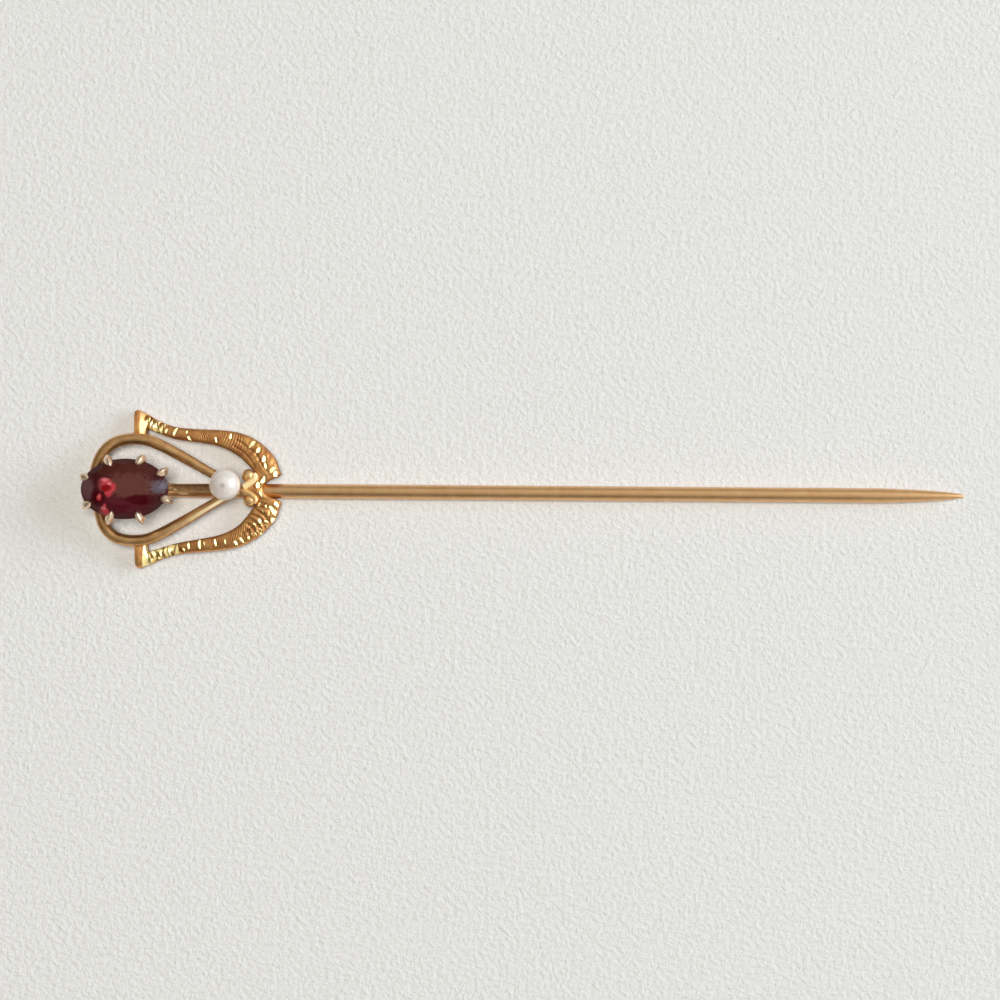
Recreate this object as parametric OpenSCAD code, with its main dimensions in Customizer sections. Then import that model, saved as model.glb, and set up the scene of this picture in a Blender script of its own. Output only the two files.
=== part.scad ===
// Gold stick pin: an oval garnet in claws, a pearl, a wire loop and two engraved wings on a plain stem.
// Millimetres. The pin lies on its back on z = 0, with +X along the stem to the point, +Y across the head.
// The origin is on the surface, under the middle of the pin's length.

/* [Stem] */
// Length over all, from the outer side of the claws to the point
overall_l = 63.5; // [50:0.5:90]
// Diameter of the stem
stem_d = 1.05; // [0.8:0.05:1.4]
// Diameter of the stem at its end beneath the stone
stem_end_d = 0.95; // [0.7:0.05:1.3]
// Length of the sharpened point
point_l = 6.3; // [4:0.1:10]
// Diameter of the blunt tip
tip_d = 0.2; // [0.1:0.05:0.4]
// How far the tips of the wings hold the stem off the surface
stem_lift = 0.1; // [0.04:0.02:0.4]

/* [Garnet] */
// Length of the oval stone, along the stem
stone_l = 6.2; // [5:0.1:8]
// Width of the oval stone
stone_w = 4.3; // [3.5:0.1:6]
// Height of the crown, above the girdle
crown_h = 0.8; // [0.5:0.05:1.2]
// Thickness of the girdle where it is thinnest
girdle_t = 0.14; // [0.08:0.02:0.3]
// Depth of the pavilion, below the girdle
pavilion_h = 1.6; // [1.2:0.05:2.4]

/* [Claw setting] */
// Width of a claw where it passes the girdle
claw_w = 0.62; // [0.4:0.02:0.8]
// Thickness of a claw
claw_t = 0.4; // [0.25:0.01:0.5]
// How far the claws reach in over the crown
claw_over = 0.56; // [0.4:0.02:0.9]
// Wire of the oval gallery under the stone
gallery_d = 0.55; // [0.4:0.05:0.8]
// How far the gallery's wire lies inside the girdle
gallery_in = 0.92; // [0.6:0.02:1.2]

/* [Wire loop] */
// Length of the loop, on the middle of its wire
loop_l = 10.1; // [9:0.1:13]
// Width of the loop, on the middle of its wire
loop_w = 7.3; // [6:0.1:9]
// Diameter of the loop's wire round the stone
loop_d = 0.82; // [0.6:0.02:1]
// Diameter of the loop's wire at the pearl
neck_d = 0.68; // [0.5:0.02:0.9]

/* [Wings] */
// Width of the head over the tips of the wings
head_w = 11.5; // [10:0.1:14]
// Turn of the whole head against the stem, in degrees, left by the soldering
head_turn = 1; // [0:0.25:2]
// How far the points of the wings stand past the end of the loop
cusp_reach = 2.9; // [2.4:0.1:4]
// Thickness of a wing at its thickest
wing_t = 1.3; // [1:0.05:1.8]
// Height of the wings' underside at the stem, where the tips touch the surface
wing_rise = 0.5; // [0.2:0.05:0.8]
// Number of engraved cuts along a wing
cut_n = 13; // [8:1:18]
// Depth of the engraved cuts
cut_depth = 0.12; // [0.05:0.01:0.2]
// Diameter of the ball in each scroll
ball_d = 0.94; // [0.7:0.02:1.1]

/* [Pearl] */
// Diameter of the pearl
pearl_d = 2.2; // [1.8:0.05:2.8]
// Distance from the end of the loop back to the pearl's middle
pearl_back = 0.85; // [0.5:0.05:1.4]
// How far the pearl sits to one side of the stem
pearl_aside = 0.24; // [0:0.02:0.4]
// Diameter of the cup under the pearl
cup_d = 1.3; // [1:0.05:1.6]
// Diameter of the post that the pearl is glued on
post_d = 0.5; // [0.4:0.05:0.7]
// How far the post goes into the pearl
post_in = 1.2; // [0.6:0.05:1.4]

/* [Fits] */
// Gap between the stone and its claws
stone_gap = 0.04; // [0.02:0.01:0.1]
// Gap between the pearl and its cup, post and wires
pearl_gap = 0.05; // [0.02:0.01:0.1]
// Room between the stone's lowest point and the stem
culet_room = 0.15; // [0.05:0.05:0.5]
// How deep soldered pieces run into each other
solder = 0.1; // [0.05:0.01:0.2]

/* [Hidden] */
gold = "#b8813f";
pale_gold = "#cdb08c";
garnet_red = "#4a0f14";
pearl_white = "#e6e1d8";

// Sharpened end of the stem: [share of point_l, share of the fall from stem_d to tip_d]
POINT = [[0, 0], [0.15, 0.05], [0.38, 0.16], [0.6, 0.33], [0.8, 0.55], [0.93, 0.78], [1, 1]];

// Half of the loop, from its round end:
// [x share of loop_l, y share of loop_w / 2, share from loop_d to neck_d, x shift on the +Y side],
// where the shift, a share of loop_l, is the bulge that the bending left on that side
LOOP = [
    [0.000, 0.000, 0.0, 0.000],
    [0.006, 0.320, 0.0, -0.026],
    [0.040, 0.690, 0.0, -0.014],
    [0.108, 0.905, 0.0, -0.004],
    [0.190, 0.985, 0.0, 0.000],
    [0.275, 1.000, 0.0, 0.000],
    [0.360, 0.965, 0.0, 0.000],
    [0.460, 0.845, 0.1, 0.000],
    [0.610, 0.620, 0.4, 0.000],
    [0.710, 0.460, 0.7, 0.000],
    [0.800, 0.315, 1.0, 0.000],
    [0.900, 0.158, 1.0, 0.000],
    [1.000, 0.030, 1.0, 0.000],
];
// Where along the loop it is widest, as a share of loop_l
LOOP_WIDEST = LOOP[5][0];

// One wing, from its flared end to the stem:
// [outer x, outer y, inner x, inner y, face, edge, outer shift, inner shift]
// x is a share of wing_l, y of head_w / 2, face and edge are heights as shares of wing_t.
// The wing on the -Y side was bent a little differently: the shifts move its y, as shares of head_w / 2.
// The foot of the flare stands on the middle of the loop's wire.
FOOT = loop_w / head_w;
WING = [
    [0.000, 0.972, 0.000, FOOT, 1.00, 0.82, -0.024, 0],
    [0.020, 1.018, 0.030, FOOT, 1.00, 0.82, -0.036, 0],
    [0.060, 0.977, 0.070, FOOT, 0.94, 0.80, -0.019, 0],
    [0.090, 0.945, 0.086, FOOT + 0.133, 0.90, 0.78, -0.007, 0.010],
    [0.150, 0.875, 0.160, 0.709, 0.86, 0.76, 0.010, 0.029],
    [0.280, 0.786, 0.275, 0.637, 0.86, 0.76, 0.028, 0.041],
    [0.420, 0.757, 0.400, 0.601, 0.90, 0.78, 0.033, 0.035],
    [0.565, 0.742, 0.535, 0.560, 0.92, 0.80, 0.029, 0.035],
    [0.700, 0.712, 0.635, 0.496, 0.94, 0.82, 0.018, 0.044],
    [0.810, 0.639, 0.720, 0.403, 0.96, 0.84, 0.004, 0.044],
    [0.898, 0.521, 0.785, 0.290, 0.98, 0.84, 0, 0.025],
    [0.965, 0.378, 0.820, 0.226, 1.00, 0.84, 0, 0],
    [0.990, 0.251, 0.838, 0.177, 0.98, 0.82, 0, 0],
    [1.000, 0.167, 0.838, 0.138, 0.92, 0.80, 0, 0],
    [0.925, 0.103, 0.825, 0.098, 0.94, 0.82, 0, 0],
    [0.892, 0.049, 0.795, 0.049, 0.96, 0.84, 0, 0],
    [0.882, -0.005, 0.770, -0.005, 0.92, 0.82, 0, 0],
];
// Last row of the wing's flare, whose sides are straight,
// and where its underside comes down to the surface, as a share of head_w / 2
FLARE_END = 4;
FLARE_SEAT = 0.965;
// First and last row of the wing that the engraved cuts cover, and how sharply the cuts narrow with depth
CUT_ROWS = [4, 12.5];
CUT_SHARP = 1.5;

// Across a wing, from the inner side:
// [share of the width, share from the edge's height to the face's, share of a cut]
ACROSS = [[0, 0, 0], [0.12, 0.7, 0], [0.38, 1, 0.5], [0.66, 1, 1], [0.88, 0.7, 0.8], [1, 0, 0]];

// Tail of a scroll, from its ball to the loop's end:
// [x share of wing_l, y share of head_w / 2, share of ball_d]
TAIL = [
    [0.822, 0.186, 0.40],
    [0.832, 0.140, 0.50],
    [0.816, 0.094, 0.56],
    [0.788, 0.056, 0.56],
    [0.750, 0.022, 0.50],
];
// Middle of the ball, as shares of wing_l and head_w / 2
BALL = [0.785, 0.162];

// Each claw, hand bent: [degrees round the stone from the stem's side, share of claw_over, share of claw_t]
CLAWS = [
    [30, 0.85, 1.50],
    [68, 0.85, 1.25],
    [112, 1.00, 1.25],
    [157, 0.75, 1.00],
    [210, 0.80, 1.10],
    [250, 1.00, 1.45],
    [291, 0.90, 1.45],
    [340, 0.80, 1.65],
];
// Route of a claw from the gallery to the girdle:
// [share of the way out, share of the way up, share of claw_w, share of claw_t]
CLAW_BODY = [
    [0.00, 0.00, 0.70, 1.00],
    [0.22, 0.20, 0.72, 1.00],
    [0.62, 0.50, 0.80, 0.95],
    [0.90, 0.76, 0.92, 0.90],
    [1.00, 1.00, 1.00, 0.85],
];
// Route of its tip over the crown: [share of claw_over, share of claw_w, share of claw_t]
CLAW_TIP = [[0.25, 0.96, 0.85], [0.5, 0.84, 0.75], [0.75, 0.60, 0.58], [0.92, 0.34, 0.4], [1, 0.12, 0.25]];
// Rise of the way out of the claw's back, at the girdle and what it gains by the tip
CLAW_LEAN = [0.6, 1.6];
// Section of a claw, flat towards the stone: [share of half its width, share of its thickness]
CLAW_FLAT = 0.8;
CLAW_SECTION = [[-CLAW_FLAT, 0], [-1, 0.3], [-0.7, 0.75], [0, 1], [0.7, 0.75], [1, 0.3], [CLAW_FLAT, 0]];

// Width of the pearl's cup at the stem, as a share of cup_d,
// and how far its rim is below the pearl's middle, as a share of pearl_d
CUP_FOOT = 0.5;
CUP_RIM = 0.25;

// Cut of the stone, in shares of its half width: table, middle of the crown, middle of the pavilion
TABLE = 0.58;
CROWN_MID = 0.8;
PAVILION_MID = 0.34;
// Angle from a main facet's middle to its side,
// and how many pieces round off the girdle along one small facet
FACET = 22.5;
ROUND = 4;
LOOP_STEPS = 5;
WING_STEPS = 5;
SCROLL_STEPS = 3;
GALLERY_STEPS = 40;
WIRE_SIDES = 10;
EPS = 0.01;

// Slopes of the stone's facets, per share of its half width, and how far the facets cut down its girdle
crown_main = crown_h / (1 - TABLE);
crown_mid_h = crown_main * (1 - CROWN_MID * cos(FACET));
crown_break = crown_mid_h / ((1 - CROWN_MID) * cos(FACET / 2));
crown_star = (crown_h - crown_mid_h) / (CROWN_MID - TABLE * cos(FACET));
crown_foot = girdle_t / 2 + crown_break * (1 - cos(FACET / 2));
pavilion_mid_h = pavilion_h * (1 - PAVILION_MID * cos(FACET));
pavilion_break = pavilion_mid_h / ((1 - PAVILION_MID) * cos(FACET / 2));
pavilion_foot = girdle_t / 2 + pavilion_break * (1 - cos(FACET / 2));

// Section of a claw in plan, from the stone's middle: its middle p, the way out, half width w, thickness t
function on_girdle(a) = [stone_l / 2 * cos(a), stone_w / 2 * sin(a)];
function claw_out(a) = unit([cos(a) / stone_l, sin(a) / stone_w]);
function claw_plan(p, out, w, t) =
    [for (q = CLAW_SECTION) p + [out[1], -out[0]] * q[0] * w + out * q[1] * t];
function claw_at_girdle(c) =
    let (out = claw_out(c[0]), r = CLAW_BODY[len(CLAW_BODY) - 1])
    claw_plan(on_girdle(c[0]) + out * stone_gap, out, r[2] * claw_w / 2, r[3] * c[2] * claw_t);

x_left = -overall_l / 2;
x_point = overall_l / 2;
stem_z = stem_lift + stem_d / 2;
stem_top = stem_lift + stem_d;
// The claw nearest the end of the pin sets the place of the stone
stone_x = x_left - min([for (c = CLAWS, p = claw_at_girdle(c)) p * along(-head_turn)]);
stone_z = stem_top + culet_room + pavilion_h + pavilion_foot;
gallery_a = stone_l / 2 - gallery_in;
gallery_b = stone_w / 2 - gallery_in;
gallery_z = stem_top - solder + gallery_d / 2;
loop_x = stone_x - gallery_a;
loop_z = stem_top - solder + loop_d / 2;
loop_end_x = loop_x + loop_l;
wing_x = loop_x + LOOP_WIDEST * loop_l - loop_d / 4;
wing_l = loop_end_x + cusp_reach - wing_x;
wing_top = wing_rise + wing_t;
head_end_x = wing_x + wing_l;
pearl_x = loop_end_x - pearl_back;

// Smooth curve through rows of a table, where k is a row number with a fraction
function row_at(rows, i) = rows[max(0, min(len(rows) - 1, i))];
function between(rows, k) =
    let (i = min(floor(k), len(rows) - 2), t = k - i)
    let (a = row_at(rows, i - 1), b = row_at(rows, i), c = row_at(rows, i + 1), d = row_at(rows, i + 2))
    (2 * b + (c - a) * t + (2 * a - 5 * b + 4 * c - d) * t * t + (3 * b - a - 3 * c + d) * t * t * t) / 2;
function straight(rows, k) =
    let (i = min(floor(k), len(rows) - 2), t = k - i)
    rows[i] * (1 - t) + rows[i + 1] * t;
function unit(v) = v / norm(v);
function along(a) = [cos(a), sin(a)];
function steps(rows, n) = [for (i = [0:(len(rows) - 1) * n]) i / n];

// Faces between rings of points, each ring listed the same way round, with flat ends unless the rings close
module skin(rings, closed = false) {
    n = len(rings);
    m = len(rings[0]);
    last = closed ? n - 1 : n - 2;
    sides = [
        for (i = [0:last], j = [0:m - 1])
            let (a = i * m + j, b = i * m + (j + 1) % m)
            let (c = ((i + 1) % n) * m + (j + 1) % m, d = ((i + 1) % n) * m + j)
            each [[a, b, c], [a, c, d]]
    ];
    first_end = [for (j = [1:m - 2]) [0, j + 1, j]];
    last_end = [for (j = [1:m - 2]) [(n - 1) * m, (n - 1) * m + j, (n - 1) * m + j + 1]];
    faces = closed ? sides : concat(sides, first_end, last_end);
    polyhedron(points = [for (r = rings) each r], faces = faces);
}

// Round section of a wire that lies level: middle p, direction dir in plan, height z, diameter d
function wire_ring(p, dir, z, d) =
    let (side = [dir[1], -dir[0]])
    [
        for (j = [0:WIRE_SIDES - 1])
            let (a = 360 * j / WIRE_SIDES)
            [p[0] + side[0] * cos(a) * d / 2, p[1] + side[1] * cos(a) * d / 2, z + sin(a) * d / 2]
    ];

module stem() {
    drop = stem_d - tip_d;
    profile = concat(
        [[0, stone_x], [stem_end_d / 2, stone_x], [stem_d / 2 - EPS, head_end_x]],
        [[stem_d / 2, head_end_x + EPS]],
        [for (r = POINT) [stem_d / 2 - r[1] * drop / 2, x_point - point_l + r[0] * point_l]],
        [[0, x_point]]
    );
    color(gold)
        translate([0, 0, stem_z])
            rotate([0, 90, 0])
                rotate_extrude($fn = 64)
                    polygon(profile);
}

// Points of the loop: [x, y, diameter], from the end of one arm round the stone to the end of the other
function loop_point(r, side) =
    let (bulge = side > 0 ? r[3] : 0)
    [loop_x + (r[0] + bulge) * loop_l, side * r[1] * loop_w / 2, loop_d + r[2] * (neck_d - loop_d)];
LOOP_ROWS = concat([for (i = [len(LOOP) - 1:-1:1]) loop_point(LOOP[i], 1)], [for (r = LOOP) loop_point(r, -1)]);
loop_points = [for (k = steps(LOOP_ROWS, LOOP_STEPS)) between(LOOP_ROWS, k)];

// The loop in two halves, joined at its round end, because its arms run into each other under the pearl
module wire_loop() {
    n = len(loop_points);
    middle = (n - 1) / 2;
    rings = [
        for (i = [0:n - 1])
            let (p = loop_points[i], a = loop_points[max(0, i - 1)], b = loop_points[min(n - 1, i + 1)])
            wire_ring(p, unit([b[0] - a[0], b[1] - a[1]]), loop_z, p[2])
    ];
    color(gold) {
        skin([for (i = [0:middle]) rings[i]]);
        skin([for (i = [middle:n - 1]) rings[i]]);
    }
}

// Height of the wings' underside, which falls to the surface at the tips
function under_wing(y) = wing_rise * (1 - min(1, abs(y) / (FLARE_SEAT * head_w / 2)));

// How deep the engraving is at row k of the wing, from 0 between two cuts to 1 in the middle of one
function cut_at(k) =
    let (t = (k - CUT_ROWS[0]) / (CUT_ROWS[1] - CUT_ROWS[0]))
    t < 0 || t > 1 ? 0 : pow(abs(sin(180 * t * cut_n)), CUT_SHARP);

module wing(wider) {
    rings = [
        for (k = steps(WING, WING_STEPS))
            let (r = k < FLARE_END ? straight(WING, k) : between(WING, k), cut = cut_at(k) * cut_depth)
            let (outer = [wing_x + r[0] * wing_l, (r[1] + wider * r[6]) * head_w / 2])
            let (inner = [wing_x + r[2] * wing_l, (r[3] + wider * r[7]) * head_w / 2])
            let (face = r[4] * wing_t, edge = r[5] * wing_t)
            concat(
                [[outer[0], outer[1], under_wing(outer[1])], [inner[0], inner[1], under_wing(inner[1])]],
                [
                    for (c = ACROSS)
                        let (p = inner + (outer - inner) * c[0])
                        [p[0], p[1], under_wing(p[1]) + edge + (face - edge) * c[1] - cut * c[2]]
                ]
            )
    ];
    color(gold)
        skin(rings);
}

// Ball and tail of the scroll at the inner end of a wing, level on top with the wing
module scroll() {
    rows = [for (r = TAIL) [wing_x + r[0] * wing_l, r[1] * head_w / 2, r[2] * ball_d]];
    points = [for (k = steps(rows, SCROLL_STEPS)) between(rows, k)];
    n = len(points);
    rings = [
        for (i = [0:n - 1])
            let (p = points[i], a = points[max(0, i - 1)], b = points[min(n - 1, i + 1)])
            wire_ring(p, unit([b[0] - a[0], b[1] - a[1]]), wing_top - p[2] / 2, p[2])
    ];
    color(gold) {
        translate([wing_x + BALL[0] * wing_l, BALL[1] * head_w / 2, wing_top - ball_d / 2])
            sphere(d = ball_d, $fn = 32);
        skin(rings);
    }
}

// Oval wire ring under the stone, soldered to the stem and the loop
module gallery() {
    rings = [
        for (i = [0:GALLERY_STEPS - 1])
            let (a = -360 * i / GALLERY_STEPS)
            let (p = [stone_x + gallery_a * cos(a), gallery_b * sin(a)])
            wire_ring(p, unit([gallery_a * sin(a), -gallery_b * cos(a)]), gallery_z, gallery_d)
    ];
    color(pale_gold)
        skin(rings, closed = true);
}

// Height of the stone's crown over its foot at point p, from the stone's middle: the lowest facet there
function crown_at(p) =
    let (u = [2 * p[0] / stone_l, 2 * p[1] / stone_w])
    min(concat(
        [crown_h],
        [for (i = [0:7]) crown_main * (1 - u * along(FACET * (2 * i + 1)))],
        [for (i = [0:7]) crown_h - crown_star * (u * along(FACET * 2 * i) - TABLE * cos(FACET))],
        [for (i = [0:15]) crown_break * (cos(FACET / 2) - u * along(FACET * (i + 0.5)))]
    ));

// One claw: a tapered strip up from the gallery past the girdle, then in over the crown to a point
module claw(c) {
    a = c[0];
    on_gallery = [gallery_a * cos(a), gallery_b * sin(a)];
    out = claw_out(a);
    across = [out[1], -out[0], 0];
    at_girdle = on_girdle(a) + out * stone_gap;
    in = -unit(on_girdle(a));
    girdle_low = stone_z - pavilion_foot;
    shoulder = CLAW_BODY[len(CLAW_BODY) - 1];
    gap_over = stone_gap / cos(atan(2 * crown_main / stone_w));
    body = [
        for (r = CLAW_BODY)
            let (p = on_gallery + (at_girdle - on_gallery) * r[0])
            [[each p, gallery_z + (girdle_low - gallery_z) * r[1]], [each out, 0], r[2], r[3]],
        [[each at_girdle, stone_z + crown_foot + stone_gap / 2], [each out, 0], shoulder[2], shoulder[3]]
    ];
    tip = [
        for (r = CLAW_TIP)
            let (p = at_girdle + in * r[0] * c[1] * claw_over, half = r[1] * claw_w / 2)
            let (sides = [for (k = [-CLAW_FLAT, 0, CLAW_FLAT]) crown_at(p + [out[1], -out[0]] * k * half)])
            let (z = stone_z + crown_foot + max(sides) + gap_over)
            [[each p, z], unit([each out, CLAW_LEAN[0] + CLAW_LEAN[1] * r[0]]), r[1], r[2]]
    ];
    rings = [
        for (s = concat(body, tip))
            let (w = s[2] * claw_w / 2, t = s[3] * c[2] * claw_t)
            [for (q = CLAW_SECTION) s[0] + across * q[0] * w + s[1] * q[1] * t]
    ];
    skin(rings);
}

module claw_setting() {
    gallery();
    color(pale_gold)
        translate([stone_x, 0, 0])
            for (c = CLAWS)
                claw(c);
}

// The pearl rests just clear of the loop's wires
pearl_z = loop_z + sqrt(max([
    for (p = loop_points)
        pow((pearl_d + p[2]) / 2 + pearl_gap, 2) - pow(p[0] - pearl_x, 2) - pow(p[1] - pearl_aside, 2)
]));

// Cup under the pearl, with the post that goes into its hole
module pearl_cup() {
    cup_h = pearl_z - pearl_d * CUP_RIM - stem_z;
    color(gold)
        translate([pearl_x, pearl_aside, 0]) {
            difference() {
                translate([0, 0, stem_z])
                    cylinder(d1 = cup_d * CUP_FOOT, d2 = cup_d, h = cup_h, $fn = 48);
                translate([0, 0, pearl_z])
                    sphere(d = pearl_d + 2 * pearl_gap, $fn = 64);
            }
            translate([0, 0, stem_z])
                cylinder(d = post_d, h = pearl_z - pearl_d / 2 + post_in - stem_z, $fn = 32);
        }
}

// Everything but the stem is turned together, about the stone's middle
module on_head() {
    translate([stone_x, 0, 0])
        rotate([0, 0, head_turn])
            translate([-stone_x, 0, 0])
                children();
}

module goldwork() {
    stem();
    on_head() {
        wire_loop();
        wing(0);
        scroll();
        mirror([0, 1, 0]) {
            wing(1);
            scroll();
        }
        claw_setting();
        pearl_cup();
    }
}

// Oval brilliant, a stretched round cut, whose small facets cut shallow scallops into the round girdle
module garnet() {
    girdle_n = 16 * ROUND;
    function ring(r, z, shift, n) = [
        for (i = [0:n - 1])
            let (a = shift + 360 * i / n)
            [r * cos(a) * stone_l / 2, r * sin(a) * stone_w / 2, z]
    ];
    function scallop(k) = 1 - cos(((k % ROUND) / ROUND - 0.5) * FACET);
    function edge(side, slope) = [
        for (k = [0:girdle_n - 1])
            let (a = 360 * k / girdle_n)
            [cos(a) * stone_l / 2, sin(a) * stone_w / 2, side * (girdle_t / 2 + slope * scallop(k))]
    ];
    points = concat(
        ring(TABLE, crown_foot + crown_h, FACET, 8),
        ring(CROWN_MID, crown_foot + crown_mid_h, 0, 8),
        edge(1, crown_break),
        edge(-1, pavilion_break),
        ring(PAVILION_MID, -pavilion_foot - pavilion_mid_h, 0, 8),
        [[0, 0, -pavilion_foot - pavilion_h]]
    );
    T = 0;
    M = 8;
    G = 16;
    H = G + girdle_n;
    N = H + girdle_n;
    culet = N + 8;
    function corner(k) = (k + 16) % 16 * ROUND;
    faces = concat(
        [[for (i = [7:-1:0]) T + i]],
        [for (i = [0:7]) [T + (i + 7) % 8, T + i, M + i]],
        [for (i = [0:7]) [T + i, M + (i + 1) % 8, G + corner(2 * i + 1), M + i]],
        [for (i = [0:7]) [M + i, each [for (k = [ROUND:-1:0]) G + (corner(2 * i) + k) % girdle_n]]],
        [for (i = [0:7]) [M + i, each [for (k = [ROUND:-1:0]) G + (corner(2 * i - 1) + k) % girdle_n]]],
        [
            for (k = [0:girdle_n - 1])
                let (l = (k + 1) % girdle_n)
                each [[G + k, G + l, H + l], [G + k, H + l, H + k]]
        ],
        [for (i = [0:7]) [N + i, each [for (k = [0:ROUND]) H + (corner(2 * i) + k) % girdle_n]]],
        [for (i = [0:7]) [N + i, each [for (k = [0:ROUND]) H + (corner(2 * i - 1) + k) % girdle_n]]],
        [for (i = [0:7]) [culet, N + i, H + corner(2 * i + 1), N + (i + 1) % 8]]
    );
    color(garnet_red)
        translate([stone_x, 0, stone_z])
            polyhedron(points = points, faces = faces);
}

// Pearl drilled part of the way for its post
module pearl() {
    hole_d = post_d + 2 * pearl_gap;
    color(pearl_white)
        translate([pearl_x, pearl_aside, pearl_z])
            difference() {
                sphere(d = pearl_d, $fn = 64);
                translate([0, 0, -pearl_d / 2 - EPS])
                    cylinder(d = hole_d, h = post_in + pearl_gap + EPS, $fn = 32);
            }
}

goldwork();
on_head() garnet();
on_head() pearl();
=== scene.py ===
"""Gold stick pin with a garnet and a pearl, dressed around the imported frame. Metres, in the frame's axes."""
import math

import bmesh
import bpy
import numpy as np
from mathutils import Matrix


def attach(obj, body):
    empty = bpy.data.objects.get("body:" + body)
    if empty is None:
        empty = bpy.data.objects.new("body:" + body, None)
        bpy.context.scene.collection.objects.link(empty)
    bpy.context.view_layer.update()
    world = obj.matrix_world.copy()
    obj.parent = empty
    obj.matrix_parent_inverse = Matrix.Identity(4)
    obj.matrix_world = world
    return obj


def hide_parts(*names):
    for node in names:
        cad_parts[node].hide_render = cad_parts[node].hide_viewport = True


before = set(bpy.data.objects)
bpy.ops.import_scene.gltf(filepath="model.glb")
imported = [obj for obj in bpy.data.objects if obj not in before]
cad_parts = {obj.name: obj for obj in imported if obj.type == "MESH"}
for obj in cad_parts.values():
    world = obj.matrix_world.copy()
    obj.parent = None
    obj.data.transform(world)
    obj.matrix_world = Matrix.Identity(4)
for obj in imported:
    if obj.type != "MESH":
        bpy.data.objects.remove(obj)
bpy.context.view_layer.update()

# Stem. One straight wire of 10 carat gold, drawn through a plate, filed down to a sharp
# point over its last 6 mm and a little thinner under the head, which is soldered to it.
# The wing tips hold it a little off the floor. Between the loop's arms its upper side is painted
# darker as shade from the arms and pearl, with two painted highlights on it.
MM = 0.001
STEM_D = 1.05
STEM_END_D = 0.95
STEM_LEFT_X = -28.518
STEM_RIGHT_X = 31.75
HEAD_END_X = -17.698
POINT_L = 6.3
TIP_D = 0.2
STEM_LIFT = 0.1
STEM_Z = STEM_LIFT + STEM_D / 2
# share of POINT_L, share of the fall from STEM_D to TIP_D
POINT = [(0, 0), (0.15, 0.05), (0.38, 0.16), (0.6, 0.33), (0.8, 0.55), (0.93, 0.78), (1, 1)]
GOLD = (0.83, 0.52, 0.27)
GOLD_RED = (0.74, 0.40, 0.18)
# Colour of the painted shade on the stem
GOLD_PAINTED_SHADE = (0.15, 0.078, 0.032)
# Colour of the painted highlights on the stem and loop
GOLD_HIGHLIGHT = (1.0, 0.84, 0.50)
# Painted shade on the stem's upper side between the loop's arms: x from, x to; and how far that fades out at the ends
# and down its side
STEM_SHADE_X = (-25.7, -20.9)
STEM_SHADE_FADE = 0.4
STEM_SHADE_SIDE = -0.35
STEM_SHADE = 0.8
# Painted highlights in that shade: x, share of the way across, half length; and their half width
STEM_GLINTS = [(-24.62, -0.50, 0.44), (-25.22, 0.10, 0.16)]
STEM_GLINT_W = 0.14


class Value:
    """A number, colour, vector or mesh from a node. Sums on it add Math nodes."""

    def __init__(self, nodes, socket):
        self.nodes, self.socket = nodes, socket

    def maths(self, operation, *values):
        return self.nodes.node("ShaderNodeMath", {"operation": operation}, dict(enumerate(values)))

    def __add__(self, other):
        return self.maths("ADD", self, other)

    def __sub__(self, other):
        return self.maths("SUBTRACT", self, other)

    def __rsub__(self, other):
        return self.maths("SUBTRACT", other, self)

    def __mul__(self, other):
        return self.maths("MULTIPLY", self, other)

    __radd__ = __add__
    __rmul__ = __mul__

    def over(self, low, high):
        """0 at low, 1 at high, held between."""
        settings = {"clamp": True}
        return self.nodes.node("ShaderNodeMapRange", settings, {0: self, 1: low, 2: high, 3: 0.0, 4: 1.0})

    def part(self, name):
        """One coordinate of a vector."""
        return self.nodes.node("ShaderNodeSeparateXYZ", {}, {0: self}, name)


class Nodes:
    """A node tree. Each of its nodes comes from the one method node."""

    def __init__(self, tree):
        self.tree = tree

    def plug(self, socket, value):
        if isinstance(value, Value):
            self.tree.links.new(value.socket, socket)
        elif socket.type == "RGBA":
            socket.default_value = (*value[:3], 1.0)
        else:
            socket.default_value = value

    def node(self, kind, settings, values, out=0):
        """Adds a node with its settings, or a ramp's stops, and its inputs. It gives back the output called out."""
        made = self.tree.nodes.new(kind)
        for name, value in settings.items():
            if name == "stops":
                stops = made.color_ramp.elements
                while len(stops) < len(value):
                    stops.new(0.5)
                for stop, (place, colour) in zip(stops, value):
                    stop.position, stop.color = place, (*colour, 1.0)
            else:
                setattr(made, name, value)
        for name, value in values.items():
            self.plug(made.inputs[name], value)
        return Value(self, made.outputs[out]) if made.outputs else None


class Finish(Nodes):
    """One material: a Principled shader, and what drives it."""

    def __init__(self, name, **sockets):
        self.material = bpy.data.materials.new(name)
        self.material.use_nodes = True
        super().__init__(self.material.node_tree)
        self.shader = self.tree.nodes["Principled BSDF"]
        self.set(**sockets)

    def set(self, **sockets):
        for name, value in sockets.items():
            self.plug(self.shader.inputs[name.replace("_", " ")], value)
        return self.material

    def place(self, scale=(1, 1, 1), turn=(0, 0, 0)):
        """Object coordinates in millimetres, stretched and turned."""
        here = self.node("ShaderNodeTexCoord", {}, {}, "Object")
        return self.node("ShaderNodeMapping", {}, {0: here, 2: turn, 3: [s / MM for s in scale]})

    def noise(self, where, size, detail=3.0, rough=0.5):
        """Cloudy noise from 0 to 1, with lumps of about size millimetres."""
        values = {"Vector": where, "Scale": 1 / size, "Detail": detail, "Roughness": rough}
        return self.node("ShaderNodeTexNoise", {}, values, "Fac")

    def mix(self, share, first, second):
        return self.node("ShaderNodeMix", {"data_type": "RGBA"}, {0: share, 6: first, 7: second}, 2)

    def attribute(self, name):
        return self.node("ShaderNodeAttribute", {"attribute_name": name}, {}, "Fac")

    def bump(self, height, depth, strength=1.0, under=None):
        """Normal from a height of 0 to 1 that stands for depth millimetres."""
        values = {"Height": height, "Distance": depth * MM, "Strength": strength}
        if under:
            values["Normal"] = under
        return self.node("ShaderNodeBump", {}, values)


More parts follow.
